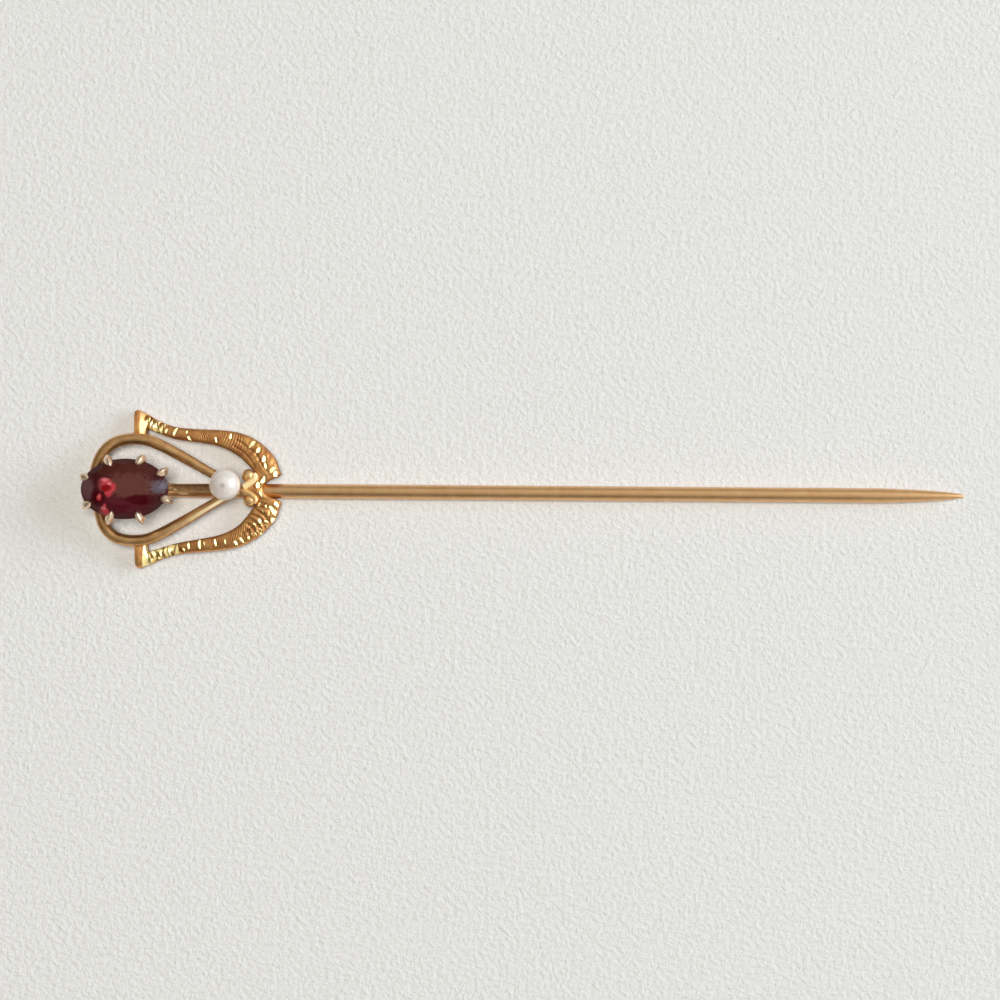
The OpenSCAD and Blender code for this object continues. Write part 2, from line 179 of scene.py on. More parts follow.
def gold_finish(name, colour, red, soot_and_shade, rough, scratch=(0.12, 3, 3), dent=0.008, patchy=0.6,
                bright=None, metal=1.0, frost=0.0):
    """Worn gold: cloudy colour, dark grime and painted shade where the attribute deep is 1, hairline scratches and
    faint dents. Where the attribute fresh is 1 it takes the colour bright, for freshly cut metal and for painted
    highlights, and is as dull as frost says."""
    f = Finish(name, Metallic=metal)
    where = f.place()
    cloud = f.noise(where, 0.8, 6, 0.7).over(0.38, 0.62)
    grime = f.noise(where, 0.25, 3).over(0.3, 0.75)
    deep = f.attribute("deep")
    tone = f.mix(cloud * patchy, colour, red)
    tone = f.mix((deep * (0.55 + grime * 0.45)).over(0, 1), tone, soot_and_shade)
    worn = f.noise(where, 0.5, 3).over(0.35, 0.7)
    dull = rough + worn * 0.08 + deep * 0.2
    if bright:
        fresh = f.attribute("fresh")
        tone = f.mix(fresh, tone, bright)
        dull = dull * (1 - fresh * 0.2)
        if frost:
            f.set(Metallic=metal - fresh * frost)
    f.set(Base_Color=tone, Roughness=dull)
    soft = f.bump(f.noise(where, 0.6, 2), dent)
    lines = f.noise(f.place(scratch), 0.05, 4, 0.65)
    return f.set(Normal=f.bump(lines, 0.0015, under=soft))


def between(rows, k):
    """Smooth curve through the rows of a table, at row k with a fraction."""
    i = min(math.floor(k), len(rows) - 2)
    t = k - i
    a, b, c, d = (rows[max(0, min(len(rows) - 1, j))] for j in (i - 1, i, i + 1, i + 2))
    return tuple(
        (2 * q + (r - p) * t + (2 * p - 5 * q + 4 * r - s) * t**2 + (3 * q - p - 3 * r + s) * t**3) / 2
        for p, q, r, s in zip(a, b, c, d)
    )


def curve_through(rows, steps):
    return [between(rows, i / steps) for i in range((len(rows) - 1) * steps + 1)]


def round_wire_tree():
    """Geometry nodes that draw round wire along a line, as thick as the attribute thick says."""
    tree = bpy.data.node_groups.new("round_wire", "GeometryNodeTree")
    for name, way, kind in (("Geometry", "INPUT", "Geometry"), ("Sides", "INPUT", "Int"),
                            ("Material", "INPUT", "Material"), ("Geometry", "OUTPUT", "Geometry")):
        tree.interface.new_socket(name, in_out=way, socket_type="NodeSocket" + kind)
    nodes = Nodes(tree)

    def given(name):
        return nodes.node("NodeGroupInput", {}, {}, name)

    line = nodes.node("GeometryNodeMeshToCurve", {}, {"Mesh": given("Geometry")})
    ring = nodes.node("GeometryNodeCurvePrimitiveCircle", {}, {"Resolution": given("Sides"), "Radius": 1.0})
    thick = nodes.node("GeometryNodeInputNamedAttribute", {}, {"Name": "thick"}, "Attribute")
    skin = nodes.node("GeometryNodeCurveToMesh", {},
                      {"Curve": line, "Profile Curve": ring, "Scale": thick, "Fill Caps": True})
    smooth = nodes.node("GeometryNodeSetShadeSmooth", {}, {"Geometry": skin})
    real = nodes.node("GeometryNodeRealizeInstances", {}, {"Geometry": smooth})
    finished = nodes.node("GeometryNodeSetMaterial", {}, {"Geometry": real, "Material": given("Material")})
    nodes.node("NodeGroupOutput", {}, {"Geometry": finished})
    return tree


ROUND_WIRE = round_wire_tree()


def grown(name, mesh, tree, **inputs):
    """The mesh that a geometry nodes tree makes from a starting mesh, as a plain object."""
    start = bpy.data.objects.new(name + "_line", mesh)
    bpy.context.scene.collection.objects.link(start)
    live = start.modifiers.new("grow", "NODES")
    live.node_group = tree
    for item in tree.interface.items_tree:
        if item.in_out == "INPUT" and item.name in inputs:
            live[item.identifier] = inputs[item.name]
    shown = start.evaluated_get(bpy.context.evaluated_depsgraph_get())
    made = bpy.data.objects.new(name, bpy.data.meshes.new_from_object(shown))
    bpy.data.objects.remove(start)
    bpy.context.scene.collection.objects.link(made)
    return made


def wire(name, points, sides, finish, closed=False):
    """Round wire through points of (x, y, z, diameter) in millimetres."""
    n = len(points)
    mesh = bpy.data.meshes.new(name + "_line")
    edges = [(i, (i + 1) % n) for i in range(n if closed else n - 1)]
    mesh.from_pydata([[c * MM for c in p[:3]] for p in points], edges, [])
    thick = mesh.attributes.new("thick", "FLOAT", "POINT")
    thick.data.foreach_set("value", [p[3] / 2 * MM for p in points])
    made = grown(name, mesh, ROUND_WIRE, Sides=sides, Material=finish)
    point_out(made)
    return made


def point_out(made):
    """Merges what touches and turns every face outwards."""
    bm = bmesh.new()
    bm.from_mesh(made.data)
    bmesh.ops.remove_doubles(bm, verts=bm.verts, dist=1e-8)
    bmesh.ops.recalc_face_normals(bm, faces=bm.faces)
    bm.to_mesh(made.data)
    bm.free()


def belongs(made, node):
    """Every piece lies still with the pin's one body and stands for a node."""
    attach(made, "root")
    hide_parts(node)


def held(value):
    return min(1, max(0, value))


def mark(made, name, values):
    """Gives each vertex its value of an attribute that the finish reads."""
    made.data.attributes.new(name, "FLOAT", "POINT").data.foreach_set("value", values)


stem_gold = gold_finish("stem_gold", GOLD, GOLD_RED, GOLD_PAINTED_SHADE, 0.34, scratch=(0.1, 3, 3),
                        bright=GOLD_HIGHLIGHT, frost=0.6)
fall = STEM_D - TIP_D
stem_line = [(STEM_LEFT_X, STEM_END_D * 0.86), (STEM_LEFT_X + 0.06, STEM_END_D)]
head_l = HEAD_END_X - stem_line[-1][0]
stem_line += [(HEAD_END_X - head_l * i / 60, STEM_D + (STEM_END_D - STEM_D) * i / 60) for i in range(59, -1, -1)]
stem_line += [(HEAD_END_X + i * (STEM_RIGHT_X - POINT_L - HEAD_END_X) / 60, STEM_D) for i in range(1, 60)]
stem_line += [(STEM_RIGHT_X - POINT_L + s * POINT_L, STEM_D - d * fall) for s, d in curve_through(POINT, 8)]
stem = wire("pin_stem", [(x, 0, STEM_Z, d) for x, d in stem_line], 64, stem_gold)
# The stem is painted darker between the loop's arms, as shade, with painted highlights in that shade.
stem_shade, nicks = [], []
for v in stem.data.vertices:
    x, side = v.co.x / MM, v.normal.y
    inside = held((x - STEM_SHADE_X[0]) / STEM_SHADE_FADE) * held((STEM_SHADE_X[1] - x) / STEM_SHADE_FADE)
    stem_shade.append(STEM_SHADE * inside * held((side - STEM_SHADE_SIDE) / STEM_SHADE_FADE))
    near = min(math.hypot((x - nick) / half, (side - across) / STEM_GLINT_W) for nick, across, half in STEM_GLINTS)
    nicks.append(held(1.6 - 1.6 * near) if v.normal.z > 0 else 0)
mark(stem, "deep", stem_shade)
mark(stem, "fresh", nicks)
belongs(stem, "goldwork")

# Wire loop. A round gold wire bent cold round the stone, thinner where its two arms
# run together under the pearl, and soldered on top of the stem there and at its bend.
# A painted highlight runs along the lower arm where its flank faces one way.
STONE_X = STEM_LEFT_X
STEM_TOP = STEM_LIFT + STEM_D
SOLDER = 0.1
LOOP_X = -30.698
LOOP_L = 10.1
LOOP_W = 7.3
LOOP_D = 0.82
NECK_D = 0.68
LOOP_Z = STEM_TOP - SOLDER + LOOP_D / 2
# x share of LOOP_L, y share of LOOP_W / 2, share from LOOP_D to NECK_D, shift of x on the upper side
LOOP = [
    (0.000, 0.000, 0.0, 0), (0.006, 0.320, 0.0, -0.026), (0.040, 0.690, 0.0, -0.014), (0.108, 0.905, 0.0, -0.004),
    (0.190, 0.985, 0.0, 0), (0.275, 1.000, 0.0, 0), (0.360, 0.965, 0.0, 0), (0.460, 0.845, 0.1, 0),
    (0.610, 0.620, 0.4, 0), (0.710, 0.460, 0.7, 0), (0.800, 0.315, 1.0, 0), (0.900, 0.158, 1.0, 0),
    (1.000, 0.030, 1.0, 0),
]
HEAD_TURN = math.radians(1)
LOOP_GOLD = (0.80, 0.48, 0.22)
LOOP_RED = (0.62, 0.32, 0.13)
# The painted highlight: x where it starts and is full, the way it faces, and the cosine where it ends and how soft
HIGHLIGHT_X = (-26.8, -22.5)
HIGHLIGHT_WAY = (0.19, -0.376, 0.906)
HIGHLIGHT_EDGE = 0.9
HIGHLIGHT_FADE = 0.07


def on_head(x, y):
    """The head was soldered on 1 degree out of line, turned about the stone's middle."""
    c, s = math.cos(HEAD_TURN), math.sin(HEAD_TURN)
    return STONE_X + (x - STONE_X) * c - y * s, (x - STONE_X) * s + y * c


def loop_row(row, side):
    bulge = row[3] if side > 0 else 0
    return LOOP_X + (row[0] + bulge) * LOOP_L, side * row[1] * LOOP_W / 2, LOOP_D + row[2] * (NECK_D - LOOP_D)


loop_rows = [loop_row(r, 1) for r in LOOP[:0:-1]] + [loop_row(r, -1) for r in LOOP]
loop_line = [(*on_head(x, y), LOOP_Z, d) for x, y, d in curve_through(loop_rows, 9)]
loop_gold = gold_finish("loop_gold", LOOP_GOLD, LOOP_RED, GOLD_PAINTED_SHADE, 0.36, scratch=(1, 1, 1), dent=0.02, patchy=0.9,
                        bright=GOLD_HIGHLIGHT, frost=0.8)
wire_loop = wire("wire_loop", loop_line, 40, loop_gold)
# Painted highlight on the lower arm, set by the way each point faces, growing towards the pearl
loop_highlight = []
for v in wire_loop.data.vertices:
    reach = held((v.co.x / MM - HIGHLIGHT_X[0]) / (HIGHLIGHT_X[1] - HIGHLIGHT_X[0]))
    facing = sum(a * b for a, b in zip(v.normal, HIGHLIGHT_WAY))
    loop_highlight.append(reach**1.7 * held((facing - HIGHLIGHT_EDGE) / HIGHLIGHT_FADE) if v.co.y < 0 else 0)
mark(wire_loop, "fresh", loop_highlight)
belongs(wire_loop, "goldwork")

# Wings. Two cast strips of gold, flared and squared off where they stand on the loop and
# pointed at the stem. Their faces are bright-cut by hand with a square graver.
HEAD_W = 11.5
CUSP_REACH = 2.9
WING_T = 1.3
WING_RISE = 0.5
WING_X = LOOP_X + LOOP[5][0] * LOOP_L - LOOP_D / 4
WING_L = LOOP_X + LOOP_L + CUSP_REACH - WING_X
WING_TOP = WING_RISE + WING_T
FOOT = LOOP_W / HEAD_W
# outer x, outer y, inner x, inner y, face, edge, outer and inner shift of the lower wing
WING = [
    (0.000, 0.988, 0.000, FOOT, 1.00, 0.82, -0.040, 0),
    (0.020, 1.008, 0.030, FOOT, 1.00, 0.82, -0.026, 0),
    (0.060, 0.977, 0.070, FOOT, 0.94, 0.80, -0.019, 0),
    (0.090, 0.945, 0.086, FOOT + 0.133, 0.90, 0.78, -0.007, 0.010),
    (0.150, 0.875, 0.160, 0.709, 0.86, 0.76, 0.010, 0.029),
    (0.280, 0.786, 0.275, 0.637, 0.86, 0.76, 0.028, 0.041),
    (0.420, 0.757, 0.400, 0.601, 0.90, 0.78, 0.033, 0.035),
    (0.565, 0.742, 0.535, 0.560, 0.92, 0.80, 0.029, 0.035),
    (0.700, 0.712, 0.635, 0.496, 0.94, 0.82, 0.018, 0.044),
    (0.810, 0.639, 0.720, 0.403, 0.96, 0.84, 0.004, 0.044),
    (0.898, 0.521, 0.785, 0.290, 0.98, 0.84, 0, 0.025),
    (0.965, 0.378, 0.820, 0.226, 1.00, 0.84, 0, 0),
    (0.990, 0.251, 0.838, 0.177, 0.98, 0.82, 0, 0),
    (1.000, 0.167, 0.838, 0.138, 0.92, 0.80, 0, 0),
    (0.925, 0.103, 0.825, 0.098, 0.94, 0.82, 0, 0),
    (0.892, 0.049, 0.795, 0.049, 0.96, 0.84, 0, 0),
    (0.882, -0.005, 0.770, -0.005, 0.92, 0.82, 0, 0),
]
# Rows of WING that are the flare, and share of HEAD_W / 2 where the wing sits on the floor
FLARE_END = 4
FLARE_SEAT = 0.965
# The facet along each flare: where it starts and stops past WING_X, how much it leans and slopes, how strong a
# painted highlight it has. Where two values stand together, they are for the upper and the lower wing.
FLARE_BAR = (0.40, 0.56)
FLARE_LEAN = (0.0, 0.10)
FLARE_SLOPE = 26
FLARE_STOP = 1.12
FLARE_FADE = 0.22
FLARE_HIGHLIGHT = (0.25, 1.0)
FLARE_Y = 4.6
WING_ROWS = 520
WING_ACROSS = 56
# Rows down each side wall, and height and width of the broken edge at its foot
WING_WALL = 5
WING_EDGE_H = 0.04
WING_EDGE_W = 0.05
EDGE_ROUND = 0.11
RIPPLE = 0.014
CUT_LONG = 1.15
CUT_WIDE = 1.25
GROOVE_DEEP = 0.05
GROOVE_WIDE = 0.13
NICK_DEEP = 0.16
NICK_WIDE = 0.09
NICK_LONG = 0.2
# Height of a hollow that is full of grime, and width of the painted shade along the edges, with how dark that
# shade is on the inner edge, on the outer edges of the upper and lower wing, and on the side walls
SOOT_DEEP = 0.012
SHADE_EDGE_W = 0.26
SHADE_INNER = 0.9
SHADE_OUTER = (0.8, 0.1)
SHADE_WALL = 0.85
LAMP_WAY = 12
# Facets cut by the graver: x, y, way that the facet faces, half length, half width, slope (mm and degrees)
CUTS_UP = [
    (-25.98, 4.62, 10, 0.10, 0.08, 28), (-25.86, 4.20, -45, 0.22, 0.09, 27), (-24.36, 4.13, 10, 0.10, 0.08, 26),
    (-25.22, 4.15, -32, 0.30, 0.14, 26), (-24.18, 3.63, 0, 0.20, 0.16, 29),
    (-22.25, 3.54, 5, 0.20, 0.11, 29), (-21.22, 3.79, 8, 0.19, 0.13, 28), (-19.76, 3.14, -58, 0.38, 0.14, 25),
    (-19.21, 2.77, -40, 0.20, 0.17, 28), (-18.81, 2.12, 0, 0.22, 0.17, 28), (-18.71, 1.61, 4, 0.22, 0.15, 28),
    (-18.24, 1.30, -50, 0.30, 0.13, 26), (-17.98, 0.98, -20, 0.24, 0.14, 26), (-18.86, 0.62, -35, 0.26, 0.15, 27),
    (-19.24, 0.22, -20, 0.24, 0.17, 27),
]
CUTS_LOW = [
    (-24.62, 4.34, -10, 0.12, 0.10, 26), (-24.27, 4.08, -5, 0.20, 0.13, 28), (-23.50, 3.98, -3, 0.32, 0.15, 28),
    (-23.16, 3.88, 20, 0.16, 0.06, 26), (-22.36, 3.87, -2, 0.24, 0.12, 28),
    (-21.64, 3.82, -8, 0.18, 0.08, 26), (-20.88, 3.92, 2, 0.20, 0.14, 28), (-20.44, 3.72, 20, 0.22, 0.13, 28),
    (-19.97, 3.58, -20, 0.20, 0.09, 26), (-19.48, 3.34, -15, 0.20, 0.09, 26), (-19.52, 2.62, 25, 0.16, 0.09, 27),
    (-19.15, 2.36, -5, 0.19, 0.13, 28), (-19.10, 2.98, 35, 0.14, 0.09, 26), (-19.05, 3.28, 20, 0.16, 0.08, 26),
    (-18.62, 2.46, 35, 0.22, 0.10, 26), (-18.68, 2.72, 35, 0.16, 0.08, 26), (-18.26, 1.72, 8, 0.46, 0.19, 27),
    (-18.16, 2.30, 20, 0.30, 0.16, 26), (-18.72, 1.32, -20, 0.18, 0.09, 26), (-17.92, 1.22, 10, 0.26, 0.14, 26),
    (-19.16, 1.12, -25, 0.16, 0.10, 26), (-19.02, 0.42, 15, 0.20, 0.10, 25),
    (-18.45, 2.02, 30, 0.16, 0.06, 22), (-18.88, 1.72, 10, 0.14, 0.05, 20), (-18.70, 2.12, 25, 0.14, 0.05, 21),
    (-19.30, 3.10, 30, 0.14, 0.05, 21), (-19.72, 3.30, 10, 0.16, 0.05, 20), (-20.10, 3.28, 15, 0.18, 0.05, 20),
    (-18.95, 2.70, 30, 0.12, 0.05, 22), (-18.42, 1.30, 5, 0.12, 0.05, 20), (-18.02, 1.75, 10, 0.26, 0.09, 25),
]
# Where the graver cut the flare right across, in one facet between each two of these x
STEPS_UP = [-27.22, -26.82, -26.42, -25.98]
STEPS_LOW = [-27.06, -26.58, -26.10, -25.70, -25.30, -24.90]
STEP_LEAN = 0.25
STEP_SLOPE = 26
STEP_FROM = 0.9
# Share of the way across that a step leaves free at the inner edge, and at the outer edge of each wing
STEP_INNER = 0.10
STEP_OUTER = (0.16, 0.06)
# Nicks along the outer edge of the flare
NICKS_UP = [(-27.30, 5.24), (-26.97, 5.10), (-26.68, 4.92), (-26.28, 4.66)]
NICKS_LOW = [(-26.98, 4.78), (-26.50, 4.66), (-26.06, 4.80), (-25.46, 4.66), (-24.86, 4.34)]
# Grooves along the shoulders, beside the facets
GROOVES_UP = [
    [(-20.79, 3.52), (-20.34, 3.24), (-20.03, 2.97), (-19.76, 2.81), (-19.40, 2.56), (-19.05, 1.88),
     (-18.83, 1.47), (-18.47, 1.11)],
    [(-20.95, 3.05), (-20.30, 2.66), (-19.80, 2.10), (-19.45, 1.55)],
]
GROOVES_LOW = [
    [(-19.55, 1.35), (-18.95, 1.87), (-18.60, 2.30), (-18.75, 2.75)],
    [(-20.40, 3.20), (-19.77, 2.81), (-19.16, 2.54)],
    [(-19.30, 0.95), (-18.70, 1.15), (-18.35, 1.60), (-18.45, 2.10)],
]
# Petals cut across the shoulders: y from, y to, pitch, bow; how deep on each wing, and the x where they start
PETALS = (3.6, 1.0, 0.42, 1.4)
PETALS_DEEP = (0.012, 0.028)
PETALS_X = -20.4
# Groups of shallow ripples across the strip: x from, x to, pitch, lean
RIPPLES_UP = [(-23.6, -22.5, 0.16, 0.35), (-22.0, -20.1, 0.19, -0.5)]
RIPPLES_LOW = [(-22.9, -21.9, 0.17, 0.3), (-21.5, -19.6, 0.18, 0.45)]


def fade(distance, over):
    """0 where distance is 0 or less, and 1 from over onwards."""
    return np.clip(distance / over, 0, 1)


def wing_blank(lower):
    """The strip before it was engraved: rows of points in plan, their height, the underside, the strip's width
    and the share of the way across. y is positive for both wings."""
    fine = [k / 60 for k in range((len(WING) - 1) * 60 + 1)]
    rows = np.array([np.array(WING[int(k)]) * (1 - k % 1) + np.array(WING[int(k) + 1]) * (k % 1)
                     if k < FLARE_END else between(WING, k) for k in fine])
    rows[:, 1] += lower * rows[:, 6]
    rows[:, 3] += lower * rows[:, 7]
    outer = np.stack([WING_X + rows[:, 0] * WING_L, rows[:, 1] * HEAD_W / 2], 1)
    inner = np.stack([WING_X + rows[:, 2] * WING_L, rows[:, 3] * HEAD_W / 2], 1)
    step = np.maximum(*(np.linalg.norm(np.diff(side, axis=0), axis=1) for side in (outer, inner)))
    run = np.concatenate([[0], np.cumsum(step)])
    at = np.interp(np.linspace(0, run[-1], WING_ROWS), run, np.arange(len(run)))
    outer, inner, rows = (np.stack([np.interp(at, np.arange(len(run)), a[:, j]) for j in range(a.shape[1])], 1)
                          for a in (outer, inner, rows))
    width = np.linalg.norm(outer - inner, axis=1)[:, None]
    c = np.linspace(0, 1, WING_ACROSS)[None, :]
    plan = inner[:, None] + (outer - inner)[:, None] * c[..., None]
    under = WING_RISE * (1 - np.minimum(1, np.abs(plan[..., 1]) / (FLARE_SEAT * HEAD_W / 2)))
    face, edge = rows[:, 4:5] * WING_T, rows[:, 5:6] * WING_T
    z = under + edge + (face - edge) * (1 - np.abs(2 * c - 1) ** 2.4)
    for side in (c, 1 - c):
        near = np.minimum(side * width, EDGE_ROUND)
        z = z - (EDGE_ROUND - np.sqrt(EDGE_ROUND**2 - (EDGE_ROUND - near) ** 2))
    return plan, z, under, width, c


def cut_flare(lower, x, y, c, z):
    """The long facet on the flare and the steps beside it, with painted highlights on them and painted shade on the
    step walls.
    """
    bar = x - WING_X
    dish = np.clip(bar - FLARE_BAR[lower] + (y - FLARE_Y) * FLARE_LEAN[lower], 0, 0.7)
    dish = dish * math.tan(math.radians(FLARE_SLOPE))
    z = z - dish * fade(FLARE_STOP - bar, FLARE_FADE)
    # The flare's facet is painted bright as a highlight, as strongly as each wing's share says.
    fresh = np.where((dish > 0.01) & (bar < FLARE_STOP), FLARE_HIGHLIGHT[lower], 0.0)
    walls = np.zeros_like(z)
    steps = STEPS_LOW if lower else STEPS_UP
    for k, (x0, x1) in enumerate(zip(steps, steps[1:])):
        lean = (y - FLARE_Y) * STEP_LEAN * (-1 if k % 2 else 1)
        past, left = x + lean - x0, x1 - x + lean
        on = fade(c, STEP_INNER) * fade(1 - c, STEP_OUTER[lower])
        here = (past > 0) & (left > 0) & (bar > STEP_FROM)
        z = np.where(here, z - on * past * math.tan(math.radians(STEP_SLOPE)), z)
        # Each step's facet is painted bright as a highlight, and a dark line of painted shade runs along its wall.
        fresh = np.where(here & (on > 0.5), 1.0, fresh)
        walls = np.maximum(walls, np.clip(1.2 - np.abs(left) / 0.03, 0, 1) * (on > 0.3))
    return z, fresh, 0.8 * walls


def cut_ripples(lower, x, y, c, z):
    """The fine ripples across the strip, and the petals on its shoulder."""
    for x0, x1, pitch, lean in (RIPPLES_LOW if lower else RIPPLES_UP):
        within = fade(x - x0, 0.3) * fade(x1 - x, 0.3) * fade(c, 0.3) * fade(1 - c, 0.12)
        bow = (c - 0.5) ** 2 * 0.5
        z = z - RIPPLE * within * (1 - np.cos(2 * math.pi * (x + (c - 0.5) * lean + bow) / pitch))
    y1, y0, pitch, bow = PETALS
    step = np.hypot(*(np.diff(a[:, WING_ACROSS // 2]) for a in (x, y)))
    along = np.concatenate([[0], np.cumsum(step)])[:, None]
    within = fade(y1 - y, 0.3) * fade(y - y0, 0.3) * fade(x - PETALS_X, 0.4) * fade(c, 0.3) * fade(1 - c, 0.1)
    return z - PETALS_DEEP[lower] * within * (1 - np.cos(2 * math.pi * (along + (c - 0.5) ** 2 * bow) / pitch))


def cut_grooves(lower, x, y, z, nicks_and_shade):
    """The grooves along the shoulder and the nicks in the outer edge."""
    for line in GROOVES_LOW if lower else GROOVES_UP:
        near = np.full_like(z, 9.0)
        for (ax, ay), (bx, by) in zip(line, line[1:]):
            t = ((x - ax) * (bx - ax) + (y - ay) * (by - ay)) / ((bx - ax) ** 2 + (by - ay) ** 2)
            t = np.clip(t, 0, 1)
            near = np.minimum(near, np.hypot(x - ax - t * (bx - ax), y - ay - t * (by - ay)))
        z = z - GROOVE_DEEP * np.clip(1 - near / GROOVE_WIDE, 0, 1)
        nicks_and_shade = np.maximum(nicks_and_shade, 0.3 * np.clip(1.2 - near / GROOVE_WIDE, 0, 1))
    for nx, ny in NICKS_LOW if lower else NICKS_UP:
        along = (x - nx) * 0.9 - (y - ny) * 0.35
        nick = np.clip(1.3 - np.abs(along) / NICK_WIDE, 0, 1)
        nick = nick * np.clip(1.4 - np.hypot(x - nx, y - ny) / NICK_LONG, 0, 1)
        z = z - NICK_DEEP * nick
        nicks_and_shade = np.maximum(nicks_and_shade, nick)
    return z, nicks_and_shade


def cut_facets(lower, x, y, blank, z, fresh, nicks_and_shade):
    """The leaf-shaped facets, each in one slanting plane with a dark rim of painted shadow."""
    for cx, cy, way, half_l, half_w, slope in (CUTS_LOW if lower else CUTS_UP):
        a = math.radians(-way if lower else way)
        v = (x - cx) * math.cos(a) + (y - cy) * math.sin(a)
        u = -(x - cx) * math.sin(a) + (y - cy) * math.cos(a)
        half_l, half_w = half_l * CUT_LONG, half_w * CUT_WIDE
        leaf = half_w * np.sqrt(np.clip(1 - (u / half_l) ** 2, 0, 1))
        level = blank.flat[np.argmin(np.hypot(x - cx, y - cy))]
        b = math.radians(LAMP_WAY + (way - LAMP_WAY) * 0.4) * (-1 if lower else 1)
        down = (x - cx) * math.cos(b) + (y - cy) * math.sin(b) + half_w * 0.6
        plane = level - math.tan(math.radians(slope)) * down
        inside = (np.abs(v) < leaf) & (plane < z)
        z = np.where(inside, plane, z)
        fresh = np.where(inside, 1.0, fresh)
        # A painted shadow round each facet
        rim = np.clip(1.2 - (np.abs(v) - leaf) / 0.07, 0, 1) * (np.abs(v) >= leaf) * (np.abs(u) < half_l + 0.04)
        nicks_and_shade = np.maximum(np.where(inside, 0.0, nicks_and_shade), 0.75 * rim)
    return z, fresh, nicks_and_shade


def paint_soot_and_shade(lower, bar, width, c, z, nicks_and_shade):
    """How dark the strip is: grime in every hollow, groove and nick, and painted shade round the cut facets, on the
    step walls and along the edges.
    """
    blur = z.copy()
    for _ in range(4):
        blur[1:-1, 1:-1] = (blur[:-2, 1:-1] + blur[2:, 1:-1] + blur[1:-1, :-2] + blur[1:-1, 2:]) / 4
    wiped = (bar > FLARE_STOP - 0.3) & (bar < FLARE_STOP + 0.1)
    soot_and_shade = np.clip(np.maximum((blur - z) / SOOT_DEEP * np.where(wiped, 0.3, 1), nicks_and_shade), 0, 1)
    inner_edge, outer_edge = (np.clip(1 - share * width / SHADE_EDGE_W, 0, 1) for share in (c, 1 - c))
    return np.maximum(soot_and_shade, np.maximum(SHADE_INNER * inner_edge, SHADE_OUTER[lower] * outer_edge * (bar > 2.4)))


def skin(rows, around):
    """Faces of a skin over closed sections, with both ends closed."""
    def at(i, j):
        return i * around + j % around

    faces = [(at(i, j), at(i, j + 1), at(i + 1, j + 1), at(i + 1, j)) for i in range(rows - 1) for j in range(around)]
    return faces + [tuple(range(around)), tuple(range((rows - 1) * around, rows * around))]


def shaped(name, points, faces, finish, sharp, **marks):
    """A piece from points in millimetres and faces, smooth but for edges of more than sharp degrees."""
    mesh = bpy.data.meshes.new(name)
    mesh.from_pydata([[c * MM for c in p] for p in points], [], faces)
    made = bpy.data.objects.new(name, mesh)
    bpy.context.scene.collection.objects.link(made)
    for attribute, values in marks.items():
        mark(made, attribute, values)
    point_out(made)
    mesh.shade_smooth()
    mesh.set_sharp_from_angle(angle=math.radians(sharp))
    mesh.materials.append(finish)
    return made


def wing(name, lower, finish):
    plan, blank, under, width, c = wing_blank(lower)
    x, y = plan[..., 0], plan[..., 1]
    z, fresh, nicks_and_shade = cut_flare(lower, x, y, c, blank)
    z = cut_ripples(lower, x, y, c, z)
    z, nicks_and_shade = cut_grooves(lower, x, y, z, nicks_and_shade)
    z, fresh, nicks_and_shade = cut_facets(lower, x, y, blank, z, fresh, nicks_and_shade)
    soot_and_shade = paint_soot_and_shade(lower, x - WING_X, width, c, z, nicks_and_shade)
    fresh = fresh * (1 - nicks_and_shade)
    rows, across = z.shape
    side = -1 if lower else 1
    points, deep, cut = [], [], []
    for i in range(rows):
        walls = [[(x[i, j], y[i, j], z[i, j] + (under[i, j] + WING_EDGE_H - z[i, j]) * w / WING_WALL)
                  for w in range(1, WING_WALL + 1)] for j in (0, -1)]
        inward = (plan[i, 0] - plan[i, -1]) / max(1e-6, np.linalg.norm(plan[i, 0] - plan[i, -1]))
        feet = [(*(plan[i, -1] + inward * WING_EDGE_W), under[i, -1]),
                (*(plan[i, 0] - inward * WING_EDGE_W), under[i, 0])]
        face = [(x[i, j], y[i, j], z[i, j]) for j in range(across)]
        points += face + walls[1] + feet + walls[0][::-1]
        # The side walls are painted dark as shade.
        deep += list(soot_and_shade[i]) + [SHADE_WALL] * (2 * WING_WALL + 2)
        cut += list(fresh[i]) + [0.0] * (2 * WING_WALL + 2)
    points = [(*on_head(px, side * py), pz) for px, py, pz in points]
    faces = skin(rows, across + 2 * WING_WALL + 2)
    belongs(shaped(name, points, faces, finish, 32, deep=deep, fresh=cut), "goldwork")


WING_GOLD = (0.97, 0.515, 0.18)
WING_RED = (0.68, 0.27, 0.105)
# Colour of the grime in the hollows and of the painted shade on the wings
WING_SOOT_AND_SHADE = (0.20, 0.088, 0.018)
# Colour of the bright-cut facets: partly the clean metal of the cuts, partly a painted highlight
GOLD_CUT_HIGHLIGHT = (0.97, 0.79, 0.37)
wing_gold = gold_finish("wing_gold", WING_GOLD, WING_RED, WING_SOOT_AND_SHADE, 0.36, (0.5, 1, 1), 0.06, 0.9, GOLD_CUT_HIGHLIGHT)
wing("wing_upper", 0, wing_gold)
wing("wing_lower", 1, wing_gold)

# Scrolls. At the inner end of each wing a small gold ball, with a tail of drawn wire that
# curls round to the end of the loop. All are soldered to the wing and polished. The upper
# tail is painted paler and less metallic, as a painted highlight.
BALL_D = 0.94
BALLS = {1: (0.785, 0.162), -1: (0.794, 0.150)}
# x share of WING_L, y share of HEAD_W / 2, share of BALL_D
TAIL = [(0.822, 0.186, 0.40), (0.832, 0.140, 0.50), (0.816, 0.094, 0.56), (0.788, 0.056, 0.56), (0.750, 0.022, 0.50)]


